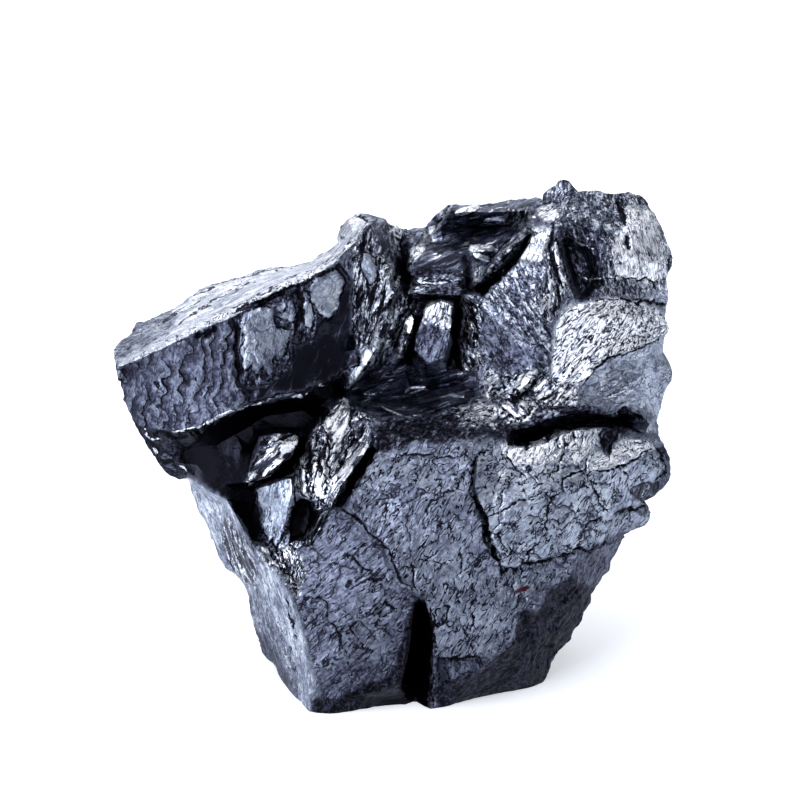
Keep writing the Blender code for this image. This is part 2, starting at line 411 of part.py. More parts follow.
# The hidden side: a shoulder near the rim, and the facets of a broken back.
BACK_EDGES = {
    "back_shoulder": [
        (-26.4, 3.4, 17.0), (-24.0, 6.4, 23.5), (-20.0, 8.8, 27.0), (-14.0, 11.0, 29.0),
        (-8.0, 11.8, 29.5), (-4.2, 15.4, 27.0), (0.8, 14.8, 28.0), (5.6, 17.0, 27.0),
        (12.0, 17.8, 27.5), (16.4, 19.2, 24.0), (21.6, 18.4, 24.5), (24.6, 14.4, 27.0),
        (24.2, 8.0, 29.0), (24.8, 2.4, 28.5), (23.2, -3.0, 28.0), (24.2, -7.2, 24.0),
        (21.4, -12.0, 25.0), (18.2, -18.0, 25.6), (14.8, -22.6, 24.6),
    ],
    "back_left_shoulder": [
        (-26.4, 3.4, 17.0), (-25.2, -0.6, 18.0), (-22.4, -4.4, 22.0), (-18.8, -6.6, 27.0),
        (-16.6, -11.0, 27.0), (-13.8, -16.0, 27.0), (-12.0, -22.4, 25.0),
    ],
    "foot_back_edge": [
        (13.2, -25.9, 23.5), (12.2, -25.0, 26.5), (9.0, -24.0, 29.8), (3.5, -23.3, 32.0),
        (-3.5, -23.4, 31.8), (-8.0, -24.3, 28.8), (-10.4, -25.7, 24.6), (-11.4, -27.4, 20.0),
    ],
    "arm_spine": [(-20.0, 8.8, 27.0), (-18.4, 2.6, 29.6), (-18.8, -6.6, 27.0)],
    "back_crown": [
        (-12.0, 2.4, 33.0), (-5.0, 9.0, 33.6), (4.4, 11.2, 32.4), (11.6, 9.4, 34.2),
        (17.2, 10.4, 32.2), (18.8, 3.0, 33.0), (15.4, -4.2, 35.0), (12.6, -12.6, 34.4),
        (4.6, -15.4, 36.2), (-4.4, -14.6, 34.8), (-9.6, -7.4, 35.0), (-12.0, 2.4, 33.0),
    ],
    "back_ledge": [(-5.0, 9.0, 33.6), (-1.6, 2.2, 36.6), (3.2, -4.6, 38.0), (4.6, -15.4, 36.2)],
    "back_ledge_foot": [
        (-3.2, 8.2, 33.0), (0.4, 2.8, 34.4), (4.8, -3.6, 35.6), (6.0, -13.6, 34.6),
    ],
    "back_cleft": [(11.6, 9.4, 34.2), (9.6, 1.6, 35.8), (15.4, -4.2, 35.0)],
    "back_lower_ridge": [(4.6, -15.4, 36.2), (3.0, -19.6, 34.4), (3.5, -23.3, 32.0)],
    "back_low_right_ridge": [(12.6, -12.6, 34.4), (12.8, -18.4, 31.0), (12.2, -25.0, 26.5)],
    "back_low_left_ridge": [(-4.4, -14.6, 34.8), (-7.6, -19.4, 31.6), (-8.0, -24.3, 28.8)],
    "back_left_ridge": [(-9.6, -7.4, 35.0), (-16.6, -11.0, 27.0)],
    "back_right_ridge": [(18.8, 3.0, 33.0), (23.2, -3.0, 28.0)],
    # Ridges and hollows that run back along the sides.
    "right_upper_ridge": [(27.1, 14.0, 16.0), (26.3, 14.2, 20.0), (24.6, 14.4, 27.0)],
    "right_upper_hollow": [(26.5, 8.6, 16.5), (25.2, 8.8, 20.5)],
    "right_middle_ridge": [(26.9, 3.6, 17.0), (26.3, 3.2, 21.5), (24.8, 2.4, 28.5)],
    "right_middle_hollow": [(25.8, -1.0, 17.0), (24.6, -1.2, 20.5)],
    "bulge_ridge": [(27.0, -6.6, 13.0), (26.4, -6.9, 18.5), (24.2, -7.2, 24.0)],
    "bulge_hollow": [(24.6, -10.2, 14.0), (23.2, -10.2, 17.5)],
    "lower_right_ridge": [(20.9, -17.0, 13.5), (20.0, -17.4, 19.5), (18.2, -18.0, 25.6)],
    "lower_right_hollow": [(17.6, -22.6, 13.4), (16.3, -22.2, 18.0)],
    "left_lower_ridge": [(-15.0, -20.4, 17.0), (-14.3, -20.0, 21.0), (-12.9, -19.6, 25.8)],
    "left_upper_hollow": [(-19.6, -12.2, 18.0), (-18.0, -11.8, 21.0)],
    "arm_top_hollow": [(-14.6, 12.7, 23.0), (-14.4, 11.9, 25.0)],
    "arm_end_ridge": [(-28.6, 4.8, 12.0), (-27.9, 4.2, 15.0), (-26.4, 3.4, 17.0)],
}


def place(across, up, depth):
    """A drafted point in the stone's own frame, in metres."""
    spread = 1 + depth / SIGHT_DISTANCE
    up *= spread
    forward = up * math.sin(SHEET_LEAN) + depth * math.cos(SHEET_LEAN)
    height = up * math.cos(SHEET_LEAN) - depth * math.sin(SHEET_LEAN)
    return Vector((
        (across * spread + SHEET_ACROSS) * MM,
        (forward + SHEET_FORWARD) * MM,
        (height + SHEET_HEIGHT) * MM,
    ))


def stepped(points, step, closed=False):
    """The points of a drafted line with more put between them, none further apart than step."""
    points = [np.array(point, float) for point in points]
    if closed:
        points.append(points[0])
    line = [points[0]]
    for start, end in zip(points, points[1:]):
        count = max(1, math.ceil(np.hypot(*(end - start)[:2]) / step))
        line += [start + (end - start) * i / count for i in range(1, count + 1)]
    return np.array(line[:-1] if closed else line)


def distance_to_line(spots, line):
    """How far each spot on the sheet is from a line of points."""
    nearest = np.full(len(spots), np.inf)
    for start, end in zip(line[:-1, :2], line[1:, :2]):
        run = end - start
        share = np.clip((spots - start) @ run / max(run @ run, 1e-9), 0, 1)
        nearest = np.minimum(nearest, np.hypot(*(spots - start - share[:, None] * run).T))
    return nearest


def inside(spots, ring):
    """Whether each spot on the sheet lies within a closed ring."""
    crossed = np.zeros(len(spots), bool)
    for (x0, y0), (x1, y1) in zip(ring, np.roll(ring, -1, axis=0)):
        if y0 == y1:
            continue
        spans = (spots[:, 1] > y0) != (spots[:, 1] > y1)
        crossed ^= spans & (spots[:, 0] < x0 + (spots[:, 1] - y0) / (y1 - y0) * (x1 - x0))
    return crossed


def filling(ring, lines, step):
    """Spots in a staggered grid between the lines, a little shaken so that no rows show."""
    shake = np.random.default_rng(7)
    low, high = ring.min(0), ring.max(0)
    rows = np.arange(low[1], high[1], step * math.sqrt(3) / 2)
    spots = np.array([
        (x + step / 2 * (row % 2), y)
        for row, y in enumerate(rows)
        for x in np.arange(low[0], high[0], step)
    ])
    spots += shake.uniform(-0.16, 0.16, spots.shape) * step
    spots = spots[inside(spots, ring)]
    for line in lines:
        spots = spots[distance_to_line(spots, line) > step * 0.55]
    return spots


def relaxed(spots, faces, depths, held):
    """Depths with the free ones set so that the skin is stretched flat between the held ones."""
    ends, pulls = [], []
    for turn in range(3):
        corner, start, end = np.roll(faces, turn, axis=1).T
        to_start, to_end = spots[start] - spots[corner], spots[end] - spots[corner]
        spread = to_start[:, 0] * to_end[:, 1] - to_start[:, 1] * to_end[:, 0]
        ends.append(np.column_stack([start, end]))
        pulls.append((to_start * to_end).sum(1) / np.abs(spread))
    ends, pulls = np.vstack(ends), np.maximum(np.hstack(pulls), LEAST_PULL)
    heads, tails = np.vstack([ends, ends[:, ::-1]]).T
    pulls = np.tile(pulls, 2)
    weight = np.bincount(heads, pulls, len(depths))
    for _ in range(RELAXING_ROUNDS):
        total = np.bincount(heads, pulls * depths[tails], len(depths))
        depths = np.where(held | (weight == 0), depths, total / np.maximum(weight, LEAST_PULL))
    return depths


def snapped(line, rim):
    """The line, with the points that come close to the rim moved onto it."""
    for point in line:
        gap = np.hypot(*(rim[:, :2] - point[:2]).T)
        if gap.min() < SNAP_TO_RIM:
            point[:] = rim[gap.argmin()]
    return line


def flanks(rim):
    """Points on the sides of the stone, where the hidden side turns away behind the rim.

    Each ring lies further in and further back than the last and follows the rim less closely.
    """
    kept = []
    for inset, drop, softening in FLANK_RINGS:
        turns = range(-softening, softening + 1)
        ring = np.mean([np.roll(rim, turn, axis=0) for turn in turns], axis=0)
        along = np.roll(ring, -1, axis=0) - np.roll(ring, 1, axis=0)
        inward = np.column_stack([along[:, 1], -along[:, 0]])
        inward /= np.hypot(*inward.T)[:, None]
        uneven = [1 + FLANK_UNEVENNESS * noise.noise(Vector(point) * 0.3) for point in ring]
        ring += np.column_stack([inward * inset, drop * np.array(uneven)])
        clear = distance_to_line(ring[:, :2], np.vstack([rim, rim[:1]])) > inset * 0.8
        kept.append(ring[clear & inside(ring[:, :2], rim[:, :2])][:: 1 + softening // 2])
    return np.vstack(kept)


def skin(rim, edges, marks, step):
    """One side of the stone: (drafted points, triangles) over the rim.

    Every edge is a crease, the surface passes through every mark, and it is stretched like a
    skin between them.
    """
    lines = [snapped(stepped(points, EDGE_STEP), rim) for points in edges.values()]
    drafted = [*rim]
    pairs = [(i, (i + 1) % len(rim)) for i in range(len(rim))]
    for line in lines:
        first = len(drafted)
        drafted += [*line]
        pairs += [(first + i, first + i + 1) for i in range(len(line) - 1)]
    for line in lines:
        marks = marks[distance_to_line(marks[:, :2], line) > MARK_CLEARANCE]
    drafted += [*marks]
    held_count = len(drafted)
    around = [np.vstack([rim, rim[:1]]), *lines, *(mark[None].repeat(2, 0) for mark in marks)]
    drafted += [np.array([x, y, 0.0]) for x, y in filling(rim[:, :2], around, step)]
    made = delaunay_2d_cdt([Vector(point[:2]) for point in drafted], pairs, [], 0, 1e-4)
    spots, faces = np.array([tuple(v) for v in made[0]]), np.array(made[2])
    depths, held = np.full(len(spots), 15.0), np.zeros(len(spots), bool)
    for i, sources in enumerate(made[3]):
        known = [drafted[source][2] for source in sources if source < held_count]
        if known:
            depths[i], held[i] = np.mean(known), True
    faces = faces[inside(spots[faces].mean(1), rim[:, :2])]
    return np.column_stack([spots, relaxed(spots, faces, depths, held)]), faces


def joined(front, back):
    """The two skins sewn along the rim into one closed mesh."""
    stone = bmesh.new()
    for (points, faces), turned in ((front, False), (back, True)):
        made = {i: stone.verts.new(place(*points[i])) for i in set(faces.ravel())}
        for a, b, c in faces:
            corners = (a, c, b) if turned else (a, b, c)
            stone.faces.new([made[i] for i in corners])
    rim = [v for v in stone.verts if v.is_boundary]
    bmesh.ops.remove_doubles(stone, verts=rim, dist=1e-3 * MM)
    bmesh.ops.recalc_face_normals(stone, faces=stone.faces)
    return stone


def roughen(stone):
    """Low swells over the whole surface, as any broken stone has."""
    stone.normal_update()
    moves = {}
    for v in stone.verts:
        swell = noise.fractal(v.co / (GRAIN_SIZE * MM), 0.9, 2.1, 3)
        moves[v] = v.normal * swell * GRAIN_HEIGHT * MM
    for v, move in moves.items():
        v.co += move


def cut_foot(stone):
    """Cuts the stone flat at floor level."""
    geometry = stone.verts[:] + stone.edges[:] + stone.faces[:]
    cut = bmesh.ops.bisect_plane(
        stone, geom=geometry, plane_co=(0, 0, 0), plane_no=(0, 0, -1), clear_outer=True
    )
    edges = [part for part in cut["geom_cut"] if isinstance(part, bmesh.types.BMEdge)]
    bmesh.ops.holes_fill(stone, edges=edges)
    bmesh.ops.recalc_face_normals(stone, faces=stone.faces)
    bmesh.ops.triangulate(stone, faces=stone.faces)


def shungite():
    material = bpy.data.materials.new("noble_shungite")
    material.use_nodes = True
    shader = material.node_tree.nodes["Principled BSDF"]
    shader.inputs["Base Color"].default_value = SHUNGITE_BLACK
    shader.inputs["Metallic"].default_value = SHUNGITE_METALLIC
    shader.inputs["Roughness"].default_value = SHUNGITE_ROUGHNESS
    return material


def main():
    for old in list(bpy.data.objects):
        bpy.data.objects.remove(old)
    rim = stepped([point for run in RIM.values() for point in run], EDGE_STEP, closed=True)
    front = skin(rim, FRONT_EDGES, np.empty((0, 3)), FRONT_STEP)
    back = skin(rim, BACK_EDGES, flanks(rim), BACK_STEP)
    stone = joined(front, back)
    roughen(stone)
    cut_foot(stone)
    mesh = bpy.data.meshes.new("shungite_stone")
    stone.to_mesh(mesh)
    stone.free()
    mesh.materials.append(shungite())
    bpy.context.scene.collection.objects.link(bpy.data.objects.new("shungite_stone", mesh))


main()
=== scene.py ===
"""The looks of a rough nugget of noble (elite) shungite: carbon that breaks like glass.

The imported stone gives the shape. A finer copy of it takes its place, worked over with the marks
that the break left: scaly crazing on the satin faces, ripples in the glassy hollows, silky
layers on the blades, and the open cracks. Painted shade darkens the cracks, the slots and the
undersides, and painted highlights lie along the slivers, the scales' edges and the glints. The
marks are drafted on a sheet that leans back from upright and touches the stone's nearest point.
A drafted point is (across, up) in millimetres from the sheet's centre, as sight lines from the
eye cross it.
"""

import math

import bmesh
import bpy
import numpy as np
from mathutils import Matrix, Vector, noise


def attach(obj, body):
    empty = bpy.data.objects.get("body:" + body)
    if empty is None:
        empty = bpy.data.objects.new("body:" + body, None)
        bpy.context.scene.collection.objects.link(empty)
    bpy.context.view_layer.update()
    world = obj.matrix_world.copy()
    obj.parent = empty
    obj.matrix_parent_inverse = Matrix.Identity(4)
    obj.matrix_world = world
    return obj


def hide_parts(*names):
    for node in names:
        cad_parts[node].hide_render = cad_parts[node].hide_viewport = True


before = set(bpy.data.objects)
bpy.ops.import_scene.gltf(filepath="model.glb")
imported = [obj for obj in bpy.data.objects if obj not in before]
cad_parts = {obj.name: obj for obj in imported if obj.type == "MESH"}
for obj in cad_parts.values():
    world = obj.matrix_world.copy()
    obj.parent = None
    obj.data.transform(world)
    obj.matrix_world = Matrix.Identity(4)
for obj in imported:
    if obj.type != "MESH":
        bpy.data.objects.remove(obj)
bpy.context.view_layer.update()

MM = 0.001

# The drafting sheet, as the part's own source has it: its lean, its centre in the stone's frame,
# and how far in front of it the eye is, in millimetres.
SHEET_LEAN = math.radians(15)
SHEET_CENTRE = (0.46, -16.03, 32.0)
SIGHT_DISTANCE = 300.0
TO_EYE = (0, -math.cos(SHEET_LEAN), math.sin(SHEET_LEAN))
LENS_MM = 135.0
SENSOR_MM = 36.0

# How fine the mesh is: edge lengths in millimetres, and how many times that long an edge may be.
FRONT_EDGE = 0.285
CRACK_EDGE = 0.175
BACK_EDGE = 0.85
SPLIT_OVER = 1.35
REFINING_ROUNDS = 5
SOFTENING_PASSES = 4
CREASE_ANGLE = math.radians(27)

# A face is on the visible side from this cosine to the eye on.
LEAST_FACING = 0.05

# Points within this of each other, or of the floor, count as touching, in metres.
SAME_PLACE = 1e-7

# Noises that the break is drawn from: feature size in millimetres, seed and octaves. Each octave
# is OCTAVE_RATIO times finer than the last, and weaker by as much.
NOISES = {
    "turning": (3.5, 2.9, 3),
    "border_across": (1.3, 3.1, 3),
    "border_up": (1.3, 8.7, 3),
    "crack_across": (1.1, 6.6, 4),
    "crack_up": (1.1, 7.7, 4),
    "satin_scars": (12.0, 5.5, 2),
    "glass_scars": (12.0, 7.2, 2),
    "lumps": (4.0, 1.7, 3),
    "flakes": (4.2, 3.6, 4),
    "back_steps": (11.0, 6.3, 3),
    "side_chips": (1.5, 8.3, 3),
    "layers": (1.0, 2.2, 3),
    "swells": (3.0, 9.1, 1),
    "grit": (0.8, 4.4, 2),
    "scale_drift": (2.4, 4.9, 3),
    "scale_wear": (4.0, 5.8, 2),
}
OCTAVE_FALL = 1.0
OCTAVE_RATIO = 2.0

# How far the marks of the break stand, in millimetres.
LUMP_RISE = 0.10
FLAKE_RISE = 0.14
BACK_STEP_RISE = 0.9
SIDE_CHIP_RISE = 0.13
LAYER_RISE = 0.10
SWELL_RISE = 0.16
RIPPLE_RISE = 0.03
GRAIN_RISE = 0.03
GRIT_RISE = 0.06
SCALE_RISE = 0.34

# How far drafted lines wander, how wide the border between two areas is, how wide the painted
# shadow along a raised area's edge is, and how near the floor the marks fade out, in millimetres.
BORDER_WANDER = 0.32
CRACK_WANDER = 0.36
BORDER = 0.5
STEP_SHADOW = 0.28
FOOT_FADE = 0.6

# How much of the cracks' wander the scoops and the slivers have.
SCOOP_WANDER = 2
SLIVER_WANDER = 0.3

# A crack's rim of painted shade and a sliver's rim of painted highlight, in their widths.
RIM = 1.6

# Flakes and back steps: how many lie between a noise's mean and its peak, and the share of each
# that its steep lip takes.
FLAKE_STEPS = 2.6
FLAKE_LIP = 0.12
BACK_STEPS = 1.8
BACK_LIP = 0.1

# How close the flakes and the layers lie along the grain, across it and in depth.
FLAKE_GRAIN = (0.7, 1.3, 1.0)
LAYER_GRAIN = (0.3, 1.6, 0.6)

# The grain's direction where no area gives one.
OWN_GRAIN = math.radians(60)

# The arm's scales: width and length in millimetres, then how far a column is staggered from the
# next, how deep its scallops are and how far it drifts, in scales.
SCALE_WIDTH = 1.5
SCALE_LENGTH = 1.9
SCALE_STAGGER = 0.6
SCALLOP = 0.34
SCALE_SWAY = 0.8

# What each broken surface is like: how light and rough it is, and how strong its marks are.
# The glints are painted highlights, the finish for shaded faces is painted shade, and the black
# glass is glass darkened further by painted shade.
QUALITIES = (
    "tone", "roughness", "streaks", "grit", "crazing", "layers", "ripples", "scales", "painted_glints",
)
FINISHES = {
    "satin": {"tone": 0.42, "roughness": 0.42, "streaks": 0.03, "grit": 0.07, "crazing": 1.0},
    "dull_satin": {"tone": 0.35, "roughness": 0.44, "streaks": 0.03, "grit": 0.08, "crazing": 0.95},
    "bright_satin": {"tone": 0.56, "roughness": 0.4, "streaks": 0.03, "grit": 0.08, "crazing": 1.0},
    "dark_satin": {"tone": 0.28, "roughness": 0.42, "streaks": 0.05, "grit": 0.09, "crazing": 0.9},
    # Painted shade: near black satin for faces that lie in shade.
    "painted_shade": {"tone": 0.06, "roughness": 0.52, "streaks": 0.05, "grit": 0.14, "crazing": 1.0},
    "scaly": {"tone": 0.29, "roughness": 0.42, "grit": 0.08, "crazing": 0.55, "scales": 1.0},
    "plate": {"tone": 0.59, "roughness": 0.34, "grit": 0.07, "crazing": 0.5, "ripples": 0.3},
    "pale_plate": {"tone": 0.64, "roughness": 0.34, "grit": 0.06, "crazing": 0.3},
    # Black glass, darkened further by painted shade, for slots, gaps and undersides.
    "glass_in_painted_shade": {"tone": 0.02, "roughness": 0.2, "ripples": 0.8},
    "glass": {"tone": 0.06, "roughness": 0.14, "ripples": 1.0, "painted_glints": 0.25},
    "deep_glass": {
        "tone": 0.23, "roughness": 0.26, "streaks": 0.16, "ripples": 0.5, "layers": 0.6,
        "painted_glints": 1.0,
    },
    "hatched": {
        "tone": 0.13, "roughness": 0.4, "streaks": 0.12, "grit": 0.25, "layers": 0.9, "painted_glints": 0.5,
    },
    "shattered": {
        "tone": 0.38, "roughness": 0.28, "streaks": 0.5, "grit": 0.4, "crazing": 0.4, "layers": 1.0,
    },
    "streaked": {
        "tone": 0.46, "roughness": 0.38, "streaks": 0.2, "grit": 0.24, "crazing": 0.9,
        "layers": 0.8,
    },
    "combed": {
        "tone": 1.12, "roughness": 0.38, "streaks": 0.15, "grit": 0.1, "crazing": 0.5,
        "layers": 1.0,
    },
    "silky": {"tone": 1.12, "roughness": 0.36, "streaks": 1.0, "grit": 0.06, "layers": 1.0},
    "sheared": {"tone": 0.86, "roughness": 0.34, "streaks": 0.1, "grit": 0.06, "layers": 0.6},
    "speckled": {
        "tone": 1.1, "roughness": 0.42, "streaks": 0.05, "grit": 0.24, "crazing": 1.0,
        "layers": 0.9,
    },
    "scratchy": {
        "tone": 0.62, "roughness": 0.4, "streaks": 0.15, "grit": 0.26, "crazing": 1.0,
        "layers": 1.0,
    },
    "frosted": {
        "tone": 0.53, "roughness": 0.36, "streaks": 0.1, "grit": 0.15, "crazing": 0.4,
        "layers": 0.8,
    },
    "silvered": {"tone": 0.64, "roughness": 0.36, "streaks": 0.08, "grit": 0.12, "layers": 0.5},
    "rubbly": {
        "tone": 0.74, "roughness": 0.36, "streaks": 0.5, "grit": 0.6, "crazing": 1.0, "layers": 1.0,
    },
}

# The glasses that show no fine marks; the black one also carries painted shade.
CLEAR_GLASSES = ("glass", "glass_in_painted_shade")
